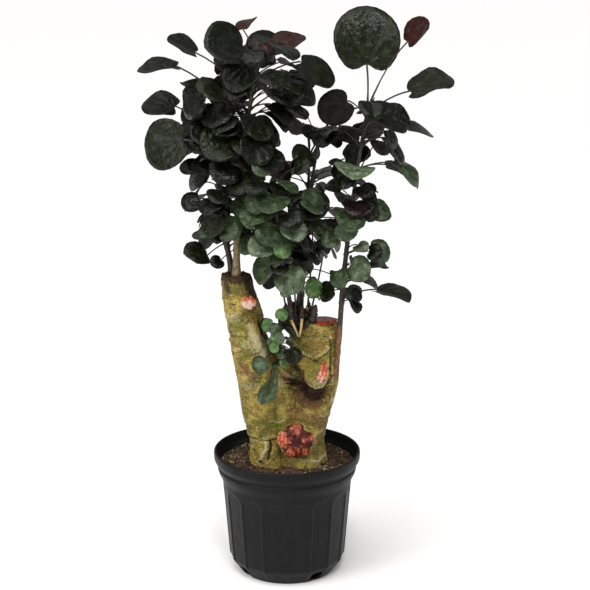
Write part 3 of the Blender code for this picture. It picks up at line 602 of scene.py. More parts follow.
def addColumn(mesh, column):
    sections = column["sections"]
    low, high = sections[0][0], sections[-1][0]
    rows = round((high - low) / stump["rowHeight"])
    (flared, flareRun), (worn, wornRun) = stump["flare"], stump["cutEdge"]
    rings = []
    for row in range(rows + 1):
        height, x, y, halfX, halfY = sectionAt(sections, mix(low, high, row / rows))
        ring = bmesh.ops.create_circle(mesh, segments=stump["sides"], radius=1)["verts"]
        flare = flared * math.exp((stump["soilLevel"] - height) / flareRun)
        edge = 1 - worn * math.exp((height - high) / wornRun)
        for vert in ring:
            angle = math.atan2(vert.co.y, vert.co.x)
            swell = 1 + stump["lobe"] * math.cos(column["lobes"] * angle + math.radians(column["turn"]))
            swell = (swell + flare * (0.6 + 0.4 * math.cos(stump["rootLobes"] * angle))) * edge
            vert.co = (x + halfX * swell * math.cos(angle), y + halfY * swell * math.sin(angle), height)
        rings.append(ring)
    bridgeRings(mesh, rings)


def readyMark(stain, half, deep, much, *path, bearing=-90):  # with its plane and the box that it can reach
    turn = math.radians(bearing)
    reach = half * stump["markReach"]
    us, zs = zip(*path)
    return dict(
        stain=stain, half=half, deep=deep, much=much, path=path,
        out=Vector((math.cos(turn), math.sin(turn), 0)), side=Vector((-math.sin(turn), math.cos(turn), 0)),
        box=(min(us) - reach, max(us) + reach, min(zs) - reach, max(zs) + reach),
    )


def seededMarks():  # leaf scars, cracks, algae and lichen round the sides and the back
    draw = random.Random("bark marks")
    kinds, shares = list(moreMarks["kinds"]), list(moreMarks["kinds"].values())
    marks = []
    for _ in range(moreMarks["count"]):
        bearing = draw.uniform(*moreMarks["spread"])
        height = draw.uniform(*moreMarks["heights"])
        column = "left" if height > moreMarks["leftAbove"] or draw.random() < 0.5 else "right"
        spot = sectionAt(stump["columns"][column]["sections"], height / 1000)
        turn = math.radians(bearing)
        middle = (-math.sin(turn) * spot[1] + math.cos(turn) * spot[2]) * 1000
        middle += draw.uniform(-moreMarks["aside"], moreMarks["aside"])
        long = draw.uniform(*moreMarks["scarWidth"]) / 2
        drop = draw.uniform(-moreMarks["drop"], moreMarks["drop"])
        kind = draw.choices(kinds, shares)[0]
        across = ((middle - long, height - drop), (middle, height - 2), (middle + long, height + drop))
        upright = ((middle, height - long), (middle + drop, height), (middle - drop, height + long))
        found = [("dark", 1.1, 2.0, 0.75, *upright)]
        if kind == "scar":
            above = [(u, z + 4) for u, z in across]
            found = [("dark", 0.9, 1.1, 0.5, *across), ("pale", 2.8, -1.2, 0.2, *above)]
        elif kind != "crack":
            much = draw.uniform(*moreMarks["much"]) * (moreMarks["paler"] if kind == "pale" else 1.0)
            found = [(kind, long * 0.6, 0.0, much, *across)]
        marks += [readyMark(*mark, bearing=bearing) for mark in found]
    return marks


def farFromPath(u, z, path):
    best = math.inf
    for (u0, z0), (u1, z1) in zip(path, path[1:]):
        du, dz = u1 - u0, z1 - z0
        share = min(1.0, max(0.0, ((u - u0) * du + (z - z0) * dz) / (du * du + dz * dz)))
        best = min(best, math.hypot(u - u0 - du * share, z - z0 - dz * share))
    return best


def topFall(spot):  # how far a point of the right limb's top lies below the level of its front edge
    if spot.x < stump["leftOf"]:
        return 0.0
    return stump["topTilt"] * max(0.0, spot.y - stump["tiltFrom"]) * ease((spot.z - 0.440) / 0.035)


def stubCap(spot):  # how far the point is a part of a sawn face
    found = 0.0
    for face, looks, radius, _ in stump["stubs"].values():
        away = spot - Vector(face)
        depth = away.dot(Vector(looks).normalized())
        if depth > -0.004 and away.length < radius * 1.15:
            found = max(found, ease((depth + 0.004) / 0.003))
    return found


def barkGrain(mm, upright):  # how far the grain stands out, in mm, and how much painted shade darkens its crevices
    (lumpSize, lump), (knuckleSize, knuckle), (pebbleSize, pebble) = (
        stump[key] for key in ("lumps", "knuckles", "pebbles")
    )
    wide, tall, deep = stump["wrinkles"]
    rise = lump * noise.noise(mm / lumpSize) + knuckle * noise.noise(mm / knuckleSize + Vector((3, 9, 4)))
    ring = noise.noise(Vector((mm.x / wide, mm.y / wide, mm.z / tall)))
    grit = noise.noise(mm / pebbleSize) + 0.5 * noise.noise(mm / pebbleSize * 2.3)
    rise += deep * ring * upright + pebble * grit
    return rise, max(0.0, -ring * 1.1 * upright - 0.25) + max(0.0, -grit * 0.8 - 0.3)


def pressMarks(mm, normal, rise, marks, marked):  # cuts each mark's course into the bark and stains it
    wander = sum((noise.noise_vector(mm / size) * far for size, far in stump["wander"]), Vector())
    size, much = stump["uneven"]
    uneven = 1 + much * noise.noise(mm / size)
    for mark in marks:
        if normal.dot(mark["out"]) < 0.05:
            continue
        u, z = mm.dot(mark["side"]) + wander.x, mm.z + wander.z
        box = mark["box"]
        if not (box[0] < u < box[1] and box[2] < z < box[3]):
            continue
        fall = bell(farFromPath(u, z, mark["path"]) / (mark["half"] * uneven))
        rise -= mark["deep"] * fall
        marked[mark["stain"]] = max(marked[mark["stain"]], mark["much"] * min(1.0, fall * 1.35))
    return rise


def fuseStump():  # the limbs, the stubs and the saddle between them, under one skin
    mesh = bmesh.new()
    for column in stump["columns"].values():
        addColumn(mesh, column)
    for face, looks, radius, length in stump["stubs"].values():
        looks = Vector(looks).normalized()
        backs = (length, length * 0.60, *stump["stubBacks"])
        radii = [radius * swell for swell in stump["stubSwells"]]
        addTube(mesh, [Vector(face) - looks * back for back in backs], radii, stump["stubSides"])
    saddle = stump["saddle"]
    bends = []
    for i in range(saddle["steps"] + 1):
        share = i * 2 / saddle["steps"] - 1
        bend = Vector((saddle["half"] * share, 0, saddle["rise"] * share ** 2))
        bends.append(Vector(saddle["middle"]) + bend)
    addTube(mesh, bends, [saddle["radius"]] * len(bends), saddle["sides"])
    turnOut(mesh)
    piece = finishPiece(mesh, "stumpBark", [wornBark()], ("trunk", "limb_left", "limb_right"))
    fused = piece.modifiers.new("fused", "REMESH")
    fused.mode, fused.voxel_size = "VOXEL", stump["voxel"]
    applyModifiers(piece)
    return piece


def buildStump():
    piece = fuseStump()
    mesh = bmesh.new()
    mesh.from_mesh(piece.data)
    allWays = dict(use_axis_x=True, use_axis_y=True, use_axis_z=True)
    for _ in range(stump["smoothRounds"]):
        bmesh.ops.smooth_vert(mesh, verts=mesh.verts, factor=0.5, **allWays)
    mesh.normal_update()
    marks = [readyMark(*mark) for mark in barkMarks] + seededMarks()
    stains = {name: [] for name in stainNames}
    for vert in mesh.verts:
        spot, normal = vert.co.copy(), vert.normal.copy()
        mm = spot * 1000
        upright = 1 - abs(normal.z)
        side = "left" if spot.x < stump["leftOf"] else "right"
        top = stump["columns"][side]["sections"][-1][0]
        bare, torn, broken = stump["cuts"][side]
        marked = dict.fromkeys(stains, 0.0)
        rise, marked["creviceShade"] = barkGrain(mm, upright)
        ragged = 0.006 * noise.noise(Vector((mm.x / 6, mm.y / 6, 5)))
        band = ease((spot.z - top + bare + ragged) / 0.008)
        fibres = noise.noise(Vector((mm.x / 3.0, mm.y / 3.0, mm.z / 16)))
        rise -= band * (0.4 + 2.4 * max(0.0, fibres)) * upright * torn
        marked["sawnWoodAndShade"] = max(band * (0.95 + 0.3 * fibres), stubCap(spot) * 0.35)
        rise = pressMarks(mm, normal, rise, marks, marked)
        if spot.z < stump["soilLevel"] - 0.001:
            rise = min(rise, 0.0)
        vert.co = spot + normal * rise / 1000
        chipped = ease((spot.z - top + 0.012) / 0.012) * broken
        chips = max(0.0, 0.35 + noise.noise(Vector((mm.x / 7, mm.y / 7, 2))))
        vert.co.z = min(vert.co.z, top + 0.0015) - chipped * chips
        vert.co.z -= topFall(spot)
        for name, amount in marked.items():
            stains[name].append(min(1.0, amount))
    mesh.to_mesh(piece.data)
    mesh.free()
    for name, amounts in stains.items():
        giveNumbers(piece, name, amounts)
    piece.data.shade_smooth()


buildStump()
print("stump modelled")


# the red wax over the cuts, metres; the seal on a stub bends back over its rounded edge, by its drop's
# start, run and depth

wax = {
    "base": dict(
        radius=0.0325, thick=0.0054, rings=18, rays=160, lift=0.0019, wobble=0.18, valleyDepth=0.14,
        valleys=(46, -22, -82, -142, 128), drop=(0.0190, 0.0130, 0.0100), roll=0.45, dish=0.40,
        core=1.0, shadedSide=0.38,
    ),
    "knob": dict(
        radius=0.0148, thick=0.0034, rings=12, rays=96, lift=0.0015, wobble=0.08, shape=(0.70, 1.20),
        lean=-24, shift=(0.0104, 0.0090), drop=(0.0115, 0.0060, 0.0044), chalk=(0.50, 0.1, 0.6),
    ),
    "left": dict(
        radius=0.0128, thick=0.0032, rings=10, rays=72, lift=0.0015, wobble=0.08,
        drop=(0.009, 0.006, 0.003), chalk=(0.95, 0.05, 0.3),
    ),
    "top": dict(
        radii=(0.0285, 0.0425, 1), middle=(0.063, 0.001, 0.4783), thick=0.0034, rings=14, rays=160,
        wobble=0.09, ripple=0.0012, fall=(0.001, 0.004),
    ),
}


def brushedWax(name, base, light, deep):
    # grafting wax brushed on hot: brick red, lumpy and half glossy, with painted shade in its creases and low
    # spots and on the upper right of the base seal
    made, tree, shader, place = startMaterial(
        name, base, 0.42, IOR=1.45, Specular_IOR_Level=0.3, Subsurface_Weight=0.02,
    )
    shader.inputs["Subsurface Radius"].default_value = (0.004, 0.0015, 0.001)
    colour = addPatches(tree, place, base, light, 6, 0.45, 0.66, detail=5.0)
    colour = addPatches(tree, place, colour, deep, 5, 0.56, 0.70, shift=0.4, detail=5.0)
    # the fold stain is painted shade
    stains = [(stain, tint, grain, 1.0, 0.9) for stain, tint, grain in (
        ("chalk", "#c9a594", 3), ("fold", deep, 3), ("core", "#3a0f10", 4),
    )]
    colour = addStains(tree, place, colour, stains, (0.3, 0.65), 0.5, (0.5, 0.95))
    tree.links.new(colour, shader.inputs["Base Color"])
    addRelief(tree, shader, place, 3.2, 0.8, 0.8, detail=5.0)
    return made


def waxDisc(radius, thick, rings, rays):  # a closed round dab, its underside flat
    mesh = bmesh.new()
    section = [(0.0, 0.0), (0.92, 0.0), (1.0, 0.35), (0.97, 0.75)]
    section += [(mix(0.92, 0.0, ring / rings), 1.0) for ring in range(rings + 1)]
    drawLine(mesh, [(radius * share, 0, thick * high) for share, high in section])
    spinRound(mesh, rays)
    turnOut(mesh)
    return mesh


def buildSeal(name, material):
    values = wax[name]
    face, looks, _, _ = stump["stubs"][name]
    looks = Vector(looks).normalized()
    right = Vector((0, 0, 1)).cross(-looks).normalized() * -1  # local X runs to the right and Y up
    turn = Matrix((right, looks.cross(right), looks)).transposed().to_4x4()
    mesh = waxDisc(values["radius"], values["thick"], values["rings"], values["rays"])
    core, fold, chalk = [], [], []
    for vert in mesh.verts:
        share = vert.co.xy.length / values["radius"]
        angle = math.degrees(math.atan2(vert.co.y, vert.co.x))
        apart = [abs(math.remainder(angle - valley, 360)) for valley in values.get("valleys", ())]
        valley = bell(min(apart, default=180) / 15)
        upper = vert.co.z > values["thick"] * 0.3
        ripple = noise.noise(vert.co * 1000 / 7 + Vector((2, 5, len(name))))
        fine = noise.noise(vert.co * 1000 / 2.2)
        pinch = values.get("valleyDepth", 0) * valley * share ** 2
        vert.co.xy *= 1 - pinch + values["wobble"] * ripple * share
        if upper:
            petal = math.sin(math.pi * min(1.0, share)) * (1 - valley)
            lift = 0.50 + 0.30 * petal - 0.35 * valley * share + 0.30 * ripple + 0.16 * fine
            lift += values.get("roll", 0) * bell((share - 0.88) / 0.10)
            vert.co.z *= max(0.30, lift - values.get("dish", 0) * bell(share / 0.34))
        core.append(values.get("core", 0) * bell((share + 0.25 * ripple) / 0.40))
        # painted shade: darker towards the upper right, away from the light, and in the creases between
        # petals and the low spots (the fold stain)
        shadedSide = values.get("shadedSide", 0) * ease((vert.co.x + vert.co.y * 1.3) / values["radius"] + 0.3)
        fold.append(min(1.0, 0.7 * valley * (1 - 0.2 * share) + shadedSide + max(0.0, -ripple)))
        below = -vert.co.y / values["radius"] + 0.7 * ripple
        rim = 0.9 * ease((share - 0.75) / 0.2) * max(0.0, ripple)
        much, start, run = values.get("chalk", (0, 0, 1))
        chalk.append(much * ease((below + start) / run) if much else rim)
    shift = Matrix.Translation((*values.get("shift", (0, 0)), 0))
    lean = Matrix.Rotation(math.radians(values.get("lean", 0)), 4, "Z")
    mesh.transform(shift @ lean @ Matrix.Diagonal((*values.get("shape", (1, 1)), 1, 1)))
    start, run, fall = values["drop"]
    for vert in mesh.verts:
        vert.co.z -= fall * (max(0.0, vert.co.xy.length - start) / run) ** 1.5
    mesh.transform(Matrix.Translation(Vector(face) + looks * values["lift"]) @ turn)
    piece = finishPiece(mesh, "wax" + name.capitalize(), [material], ("wax_" + name,))
    for stain, amounts in (("core", core), ("fold", fold), ("chalk", chalk)):
        giveNumbers(piece, stain, amounts)


def buildTopSeal(material):  # brushed over the right cut, it runs a little way down the front
    values = wax["top"]
    mesh = waxDisc(1.0, values["thick"], values["rings"], values["rays"])
    low, more = values["fall"]
    fold = []
    for vert in mesh.verts:
        share = vert.co.xy.length
        ripple = noise.noise(Vector((vert.co.x * 3.2, vert.co.y * 3.2, 4.0)))
        front = max(0.0, -vert.co.y) * ease((share - 0.75) / 0.2)
        vert.co.xy *= 1 + values["wobble"] * ripple * share
        drip = 0.5 + 0.5 * noise.noise(Vector((vert.co.x * 5.5, 1.0, 2.0)))
        high = vert.co.z
        ways = zip(values["middle"], values["radii"], vert.co)
        vert.co = [middle + radius * way for middle, radius, way in ways]
        fall = front * (low + more * drip * ease((share - 0.86) / 0.12))
        vert.co.z += values["ripple"] * ripple * (high > 0.001) - fall
        vert.co.z -= topFall(vert.co)
        # painted shade: darker where the ripple sinks the wax
        fold.append(max(0.0, -ripple * 1.2))
    piece = finishPiece(mesh, "waxTop", [material], ("wax_top",))
    for stain, amounts in (("fold", fold), ("core", [0.0] * len(fold)), ("chalk", [0.0] * len(fold))):
        giveNumbers(piece, stain, amounts)


sealWax = brushedWax("brushedWax", "#a6452a", "#dc8c68", "#4a150d")
for sealName in ("base", "knob", "left"):
    buildSeal(sealName, sealWax)
buildTopSeal(brushedWax("freshWax", "#7d2415", "#9e3f26", "#45110b"))
print("wax brushed on")


# the shoots, metres and degrees; a lead leaf, in mm and degrees, is its root's height, bearing, reach, lift
# and width, then the bearing and tilt that its blade faces, and its tone

shoots = {
    "left": dict(
        foot=(-0.089, -0.012, 0.563), tip=(-0.049, 0.002, 0.936), bow=(-0.010, 0.008), radii=(0.0065, 0.0022),
        leafy=0.655, leaves=58, turn=40, favour=(0, 0.35), reach=(0.050, 0.062, 0.040), rise=(10, 25, 35),
        width=(0.056, 0.070, 0.062), tilt=(48, 35, 30),
        leads=(
            (930, 210, 25, 35, 90, 310, 50, "dark"), (930, 40, 40, 20, 70, 240, 30, "young"),
            (930, 140, 10, 60, 40, 220, 30, "young"), (930, 20, 5, 25, 30, 280, 50, "young"),
            (900, 340, 85, 40, 80, 315, 40, "dark"), (870, 175, 95, 80, 65, 330, 35, "dark"),
            (830, 190, 120, 100, 80, 245, 10, "dark"), (780, 170, 120, 75, 70, 280, 30, "dark"),
            (850, 205, 90, 40, 65, 220, 70, "dark"), (770, 210, 115, 40, 90, 245, 75, "veined"),
            (800, 240, 40, 15, 75, 280, 50, "veined"), (850, 355, 65, 40, 65, 295, 40, "olive"),
        ),
    ),
    "rear_left": dict(
        foot=(-0.098, 0.014, 0.563), tip=(-0.126, 0.062, 0.850), bow=(-0.010, 0.010), radii=(0.0055, 0.0022),
        leafy=0.595, leaves=34, turn=150, favour=(20, 0.5), reach=(0.040, 0.046, 0.036), rise=(8, 22, 35),
        width=(0.050, 0.064, 0.062), tilt=(50, 38, 30),
        leads=(
            (675, 225, 50, 20, 40, 270, 55, "dark"), (750, 205, 30, 0, 45, 260, 30, "dark"),
            (610, 200, 35, -20, 55, 320, 40, "olive"),
        ),
    ),
    "front": dict(
        foot=(0.012, -0.018, 0.478), tip=(-0.024, -0.052, 0.750),
        bow=(-0.004, -0.012), radii=(0.0048, 0.0020), leafy=0.545, leaves=26, turn=250, favour=(300, 0.2),
        reach=(0.032, 0.040, 0.028), rise=(5, 15, 35), width=(0.050, 0.058, 0.048), tilt=(52, 42, 36),
        leads=(
            (600, 210, 25, 30, 70, 260, 40, "grey"), (705, 265, 25, 15, 65, 285, 20, "green"),
            (675, 230, 25, 20, 65, 260, 20, "green"), (625, 290, 30, 15, 45, 320, 70, "bright"),
            (580, 300, 10, 15, 40, 300, 60, "green"), (735, 220, 5, 35, 40, 270, 60, "grey"),
            (715, 250, 5, 35, 50, 240, 30, "green"),
        ),
    ),
    "middle": dict(
        foot=(0.024, 0.002, 0.478), tip=(0.056, 0.012, 0.806), bow=(-0.004, 0.004), radii=(0.0052, 0.0020),
        leafy=0.530, leaves=36, turn=330, favour=(180, 0.1), reach=(0.036, 0.048, 0.034), rise=(0, 18, 35),
        width=(0.040, 0.058, 0.054), tilt=(58, 45, 38),
        leads=(
            (765, 245, 20, 15, 50, 315, 45, "olive"), (705, 270, 20, 5, 65, 270, 50, "dark"),
            (550, 305, 40, 5, 40, 310, 80, "bright"),
        ),
    ),
    "rear": dict(
        foot=(0.018, 0.025, 0.478), tip=(0.040, 0.076, 0.790), bow=(0.006, 0.010), radii=(0.0048, 0.0020),
        leafy=0.560, leaves=31, turn=70, favour=(90, 0.3), reach=(0.050, 0.065, 0.045), rise=(5, 22, 35),
        width=(0.050, 0.064, 0.060), tilt=(52, 38, 30),
        leads=(),
    ),
    "right": dict(
        foot=(0.090, -0.028, 0.345), tip=(0.141, 0.000, 0.856), bow=(-0.011, -0.010), radii=(0.0060, 0.0022),
        leafy=0.500, leaves=36, turn=300, favour=(90, 0.3), reach=(0.036, 0.045, 0.050), rise=(5, 20, 35),
        width=(0.038, 0.052, 0.062), tilt=(52, 42, 34),
        leads=(
            (850, 90, 30, 75, 120, 270, 75, "olive"), (845, 15, 55, 115, 75, 210, 30, "young"),
            (845, 5, 75, 40, 90, 220, 30, "olive"), (840, 330, 45, 50, 80, 260, 40, "dark"),
            (820, 320, 35, 40, 70, 300, 40, "dark"), (790, 15, 85, 30, 60, 335, 20, "dark"),
            (840, 230, 50, 35, 65, 265, 65, "deep"), (750, 345, 65, 15, 70, 340, 40, "green"),
            (740, 265, 40, 25, 70, 325, 10, "grey"), (680, 340, 35, 0, 40, 260, 40, "green"),
            (655, 270, 45, 30, 55, 300, 30, "green"), (580, 300, 15, 5, 50, 240, 60, "grey"),
            (610, 300, 35, 15, 30, 240, 30, "grey"), (520, 335, 65, 25, 75, 335, 10, "olive"),
        ),
    ),
    "crotch": dict(
        foot=(-0.012, -0.012, 0.394), tip=(-0.014, -0.046, 0.480),
        bow=(0.000, -0.010), radii=(0.0032, 0.0018), leafy=0.408, leaves=6, turn=200, favour=(270, 0.3),
        reach=(0.020, 0.020, 0.012), rise=(0, 15, 30), width=(0.026, 0.028, 0.024), tilt=(60, 55, 50),
        leads=(
            (425, 240, 50, 0, 35, 255, 50, "green"), (440, 300, 35, 0, 35, 295, 45, "olive"),
            (415, 245, 40, -30, 70, 195, 60, "green"), (470, 230, 15, 15, 25, 270, 65, "bright"),
        ),
    ),
}

growth = dict(
    goldenAngle=137.5, tries=20, crowding=0.9, bearingSpread=35, reachSpread=(0.4, 1.3),
    widthSpread=(0.75, 1.15), leanSpread=18, faceSpread=50, leastTilt=8, mostRise=70, leafyFrom=0.006,
    leafyTo=0.003,
    bladeMargin=0.0040, petioleMargin=0.0042, stemMargin=0.009, limbMargin=0.007, spread=1.05,
    discSides=8, stalkSteps=4, ownSteps=3, stemSteps=7, jointAt=0.72, petioleArch=0.07, farApart=0.38,
    limbSections=(  # height, centre and half widths, as the stump's
        ((0.208, -0.031, 0.002, 0.037, 0.050), (0.260, -0.032, 0.001, 0.038, 0.047),
         (0.412, -0.0595, -0.002, 0.039, 0.041), (0.563, -0.0905, -0.004, 0.0285, 0.029)),
        ((0.208, 0.031, 0.0, 0.038, 0.052), (0.260, 0.030, 0.0, 0.038, 0.049),
         (0.412, 0.051, 0.0, 0.044, 0.044), (0.478, 0.046, 0.002, 0.049, 0.046)),
        ((0.208, -0.002, 0.004, 0.040, 0.044), (0.394, -0.008, 0.004, 0.024, 0.030)),
    ),
)
filling = dict(  # the younger leaves between those of the rule, and the openings that stay clear
    more=dict(left=1.7, rear_left=1.2, front=1.7, middle=0.9, rear=1.0, right=0.5, crotch=3.0),
    tries=14, room=0.30, reach=(0.25, 1.25), width=(0.50, 0.95), tilt=(15, 70), riseSpread=(-15, 25),
    facesFront=(225, 325), leafyFrom=0.004, leafyTo=0.006, solid=0.75,
    ruleSolid=0.40, keptBack=0.155,  # the crown keeps its full depth
    eye=(0.0146, -3.0, 1.319), plane=-0.02,  # the openings lie in this plane, as seen from the front
    openings=(
        (0.004, 0.809, 0.014), (0.024, 0.790, 0.012), (0.047, 0.847, 0.016), (0.104, 0.921, 0.028),
        (0.062, 0.751, 0.012), (0.083, 0.785, 0.010), (0.079, 0.690, 0.014), (0.018, 0.733, 0.009),
        (0.159, 0.756, 0.020), (0.191, 0.706, 0.026), (0.140, 0.640, 0.016), (0.115, 0.610, 0.014),
        (0.066, 0.575, 0.012), (-0.118, 0.589, 0.026), (0.180, 0.640, 0.030), (-0.066, 0.860, 0.008),
        (0.024, 1.005, 0.016), (-0.042, 1.003, 0.010),
    ),
)
# leaves that the rule leaves out, mm: the blade's centre and width, the bearing and tilt it faces, its tone
lateLeaves = {
    "left": (
        (-69, 0, 1002, 42, 215, 35, "young"), (-41, -85, 775, 40, 260, 60, "green"),
        (-28, -90, 742, 45, 300, 55, "green"), (-42, -95, 774, 42, 250, 60, "green"),
        (-100, -60, 654, 48, 240, 65, "green"), (-122, -30, 588, 28, 300, 50, "dark"),
    ),
    "rear_left": (
        (-140, -50, 756, 46, 280, 50, "grey"), (-121, -62, 731, 50, 285, 55, "green"),
        (-118, -70, 690, 44, 270, 50, "green"), (-136, -80, 783, 42, 265, 50, "green"),
    ),
    "front": (
        (-56, -105, 628, 68, 265, 72, "grey"), (12, -70, 636, 42, 285, 68, "grey"),
        (4, -80, 593, 44, 280, 60, "green"), (-30, -70, 570, 50, 250, 55, "dark"),
    ),
    "right": (
        (220, -30, 990, 60, 215, 58, "young"), (163, -20, 678, 46, 290, 50, "green"),
        (166, -10, 580, 34, 330, 30, "dark"), (121, -50, 535, 26, 300, 45, "dark"),
        (100, -40, 562, 36, 280, 40, "dark"),
    ),
    "crotch": (
        (-9, -60, 500, 24, 265, 70, "bright"), (-37, -52, 482, 22, 250, 55, "olive"),
        (-19, -62, 476, 24, 285, 60, "green"), (-31, -70, 463, 25, 255, 65, "green"),
        (-11, -74, 464, 21, 300, 60, "grey"), (-21, -78, 446, 20, 270, 65, "bright"),
    ),
}
late = dict(tries=5, step=0.006, room=0.05, lowest=0.12, slope=0.55)


def threeWay(values, share):
    low, middle, high = values
    if share < 0.5:
        return mix(low, middle, share * 2)
    return mix(middle, high, share * 2 - 1)


def stemPoint(shoot, share):
    foot, tip = Vector(shoot["foot"]), Vector(shoot["tip"])
    return foot.lerp(tip, share) + Vector((*shoot["bow"], 0)) * 4 * share * (1 - share)


def stemAt(shoot, height):
    return stemPoint(shoot, (height - shoot["foot"][2]) / (shoot["tip"][2] - shoot["foot"][2]))


def joinLeaf(root, out, width, faces, tilt, tone, joint=None, centre=None):  # from its joint or its centre
    lean, side = math.radians(tilt), math.radians(faces)
    slope = math.sin(lean)
    normal = Vector((slope * math.cos(side), slope * math.sin(side), math.cos(lean)))
    along = (out - normal * out.dot(normal)).normalized()
    ahead = along * width / 2 * growth["jointAt"]
    if joint is None:
        joint = centre - ahead
    else:
        centre = joint + ahead
    elbow = root.lerp(joint, 0.5) + Vector((0, 0, growth["petioleArch"] * (joint - root).length))
    return dict(
        root=root, elbow=elbow, joint=joint, centre=centre, along=along, across=normal.cross(along),
        normal=normal, width=width, tone=tone,
    )


def layLeaf(shoot, height, bearing, reach, lift, width, faces, tilt, tone=""):
    root = stemAt(shoot, height)
    out = Vector((math.cos(math.radians(bearing)), math.sin(math.radians(bearing)), 0))
    joint = root + out * reach + Vector((0, 0, lift))
    return joinLeaf(root, out, width, faces, tilt, tone, joint=joint)


def lateLeaf(shoot, x, y, z, width, faces, tilt, tone):  # its stalk rises from the stem a little below it
    centre, top = Vector((x, y, z)), shoot["tip"][2]
    away = (centre - stemAt(shoot, min(z, top))).xy.length
    lowest = mix(shoot["foot"][2], top, late["lowest"])
    root = stemAt(shoot, min(max(lowest, z - away * late["slope"]), top))
    return joinLeaf(root, centre - root, width, faces, tilt, tone, centre=centre)


def discPoints(leaf):
    reach = leaf["width"] / 2 * growth["spread"]
    angles = [math.pi + math.tau * i / growth["discSides"] for i in range(growth["discSides"])]
    along, across = leaf["along"], leaf["across"]
    return [leaf["centre"] + (along * math.cos(a) + across * math.sin(a)) * reach for a in angles]


def lineHitsDisc(start, end, leaf, margin):
    reach = leaf["width"] / 2 * growth["spread"] + margin
    above = [leaf["normal"].dot(point - leaf["centre"]) for point in (start, end)]
    for point, height in zip((start, end), above):
        if abs(height) < margin and (point - leaf["centre"]).length < reach:
            return True
    if above[0] * above[1] < 0:
        crossing = start.lerp(end, above[0] / (above[0] - above[1]))
        return (crossing - leaf["centre"]).length < reach
    return False


def lineHits(line, leaf, margin):
    return any(lineHitsDisc(a, b, leaf, margin) for a, b in zip(line, line[1:]))


def discsTouch(one, other, margin):
    apart = (one["width"] + other["width"]) / 2 * growth["spread"] + margin
    if (one["centre"] - other["centre"]).length > apart:
        return False
    for first, second in ((one, other), (other, one)):
        rim = discPoints(first)
        spokes = any(lineHitsDisc(first["centre"], point, second, margin) for point in rim)
        if spokes or lineHits(rim + rim[:1], second, margin):
            return True
    return False


def alongLine(line):
    shares = [i / growth["stalkSteps"] for i in range(growth["stalkSteps"])]
    return [a.lerp(b, share) for a, b in zip(line, line[1:]) for share in shares] + [line[-1]]


def linesNear(one, other, margin):
    return any((a - b).length < margin for a in one for b in other)


def inLimb(point):
    margin = growth["limbMargin"]
    for sections in growth["limbSections"]:
        low, high = sections[0][0], sections[-1][0]
        if point.z > high + margin or point.z < low:
            continue
        _, x, y, halfX, halfY = sectionAt(sections, min(point.z, high))
        if ((point.x - x) / (halfX + margin)) ** 2 + ((point.y - y) / (halfY + margin)) ** 2 < 1:
            return True
    return False


def stalkLine(leaf):
    return [leaf["root"], leaf["elbow"], leaf["joint"]]


def leafFits(name, leaf, placed, stems, room=1.0):  # room is the share of the full margins that it keeps
    line = stalkLine(leaf)
    stalk = alongLine(line)
    margins = ("bladeMargin", "petioleMargin", "stemMargin")
    bladeGap, stalkGap, stemGap = (growth[key] * room for key in margins)
    if any(inLimb(point) for point in discPoints(leaf) + stalk[growth["ownSteps"]:] + [leaf["centre"]]):
        return False
    for otherName, stem in stems.items():
        if lineHits(stem, leaf, stemGap) or otherName != name and linesNear(stalk, alongLine(stem), stemGap):
            return False
    for otherName, other in placed:
        if (leaf["centre"] - other["centre"]).length > growth["farApart"]:
            continue
        otherLine = stalkLine(other)
        first = growth["ownSteps"] if otherName == name else 0
        if (
            discsTouch(leaf, other, bladeGap) or lineHits(line, other, stalkGap)
            or lineHits(otherLine, leaf, stalkGap)
            or linesNear(stalk[first:], alongLine(otherLine)[first:], stalkGap)
        ):
            return False
    return True


def ruleLeaf(shoot, number, draw):
    share = (number + 0.5) / shoot["leaves"]
    low, high = shoot["leafy"] + growth["leafyFrom"], shoot["tip"][2] - growth["leafyTo"]
    height = mix(low, high, share ** growth["crowding"])
    swing, lean, turn = growth["bearingSpread"], growth["leanSpread"], growth["faceSpread"]
    bearing = shoot["turn"] + growth["goldenAngle"] * number + draw.uniform(-swing, swing)
    favoured, more = shoot["favour"]
    reach = threeWay(shoot["reach"], share) * draw.uniform(*growth["reachSpread"])
    reach *= 1 + more * math.cos(math.radians(bearing - favoured))
    rise = threeWay(shoot["rise"], share) + draw.uniform(-lean, lean)
    width = threeWay(shoot["width"], share) * draw.uniform(*growth["widthSpread"])
    tilt = threeWay(shoot["tilt"], share) + draw.uniform(-lean, lean)
    lift = reach * math.tan(math.radians(min(growth["mostRise"], rise)))
    faces = bearing + draw.uniform(-turn, turn)
    return layLeaf(shoot, height, bearing, reach, lift, width, faces, max(growth["leastTilt"], tilt))


def youngLeaf(shoot, draw):  # more of them turn to the light in front than to the back
    share = draw.random()
    height = mix(shoot["leafy"] + filling["leafyFrom"], shoot["tip"][2] - filling["leafyTo"], share)
    bearing = draw.uniform(0, 360)
    reach = threeWay(shoot["reach"], share) * draw.uniform(*filling["reach"])
    rise = threeWay(shoot["rise"], share) + draw.uniform(*filling["riseSpread"])
    width = threeWay(shoot["width"], share) * draw.uniform(*filling["width"])
    faces = draw.choice((bearing, draw.uniform(*filling["facesFront"]), draw.uniform(0, 360)))
    tilt = draw.uniform(*filling["tilt"])
    return layLeaf(shoot, height, bearing, reach, reach * math.tan(math.radians(rise)), width, faces, tilt)


def closesOpening(leaf, solid):  # whether it would cover a patch of sky between the shoots
    eye = Vector(filling["eye"])
    seen = eye.lerp(leaf["centre"], (filling["plane"] - eye.y) / (leaf["centre"].y - eye.y))
    half = leaf["width"] / 2 * solid
    return any(math.hypot(seen.x - x, seen.z - z) < radius + half for x, z, radius in filling["openings"])


def placeFirst(name, choices, placed, stems, room=1.0):  # the first of the choices that has room
    for leaf in choices:
        if leafFits(name, leaf, placed, stems, room):
            placed.append((name, leaf))
            return


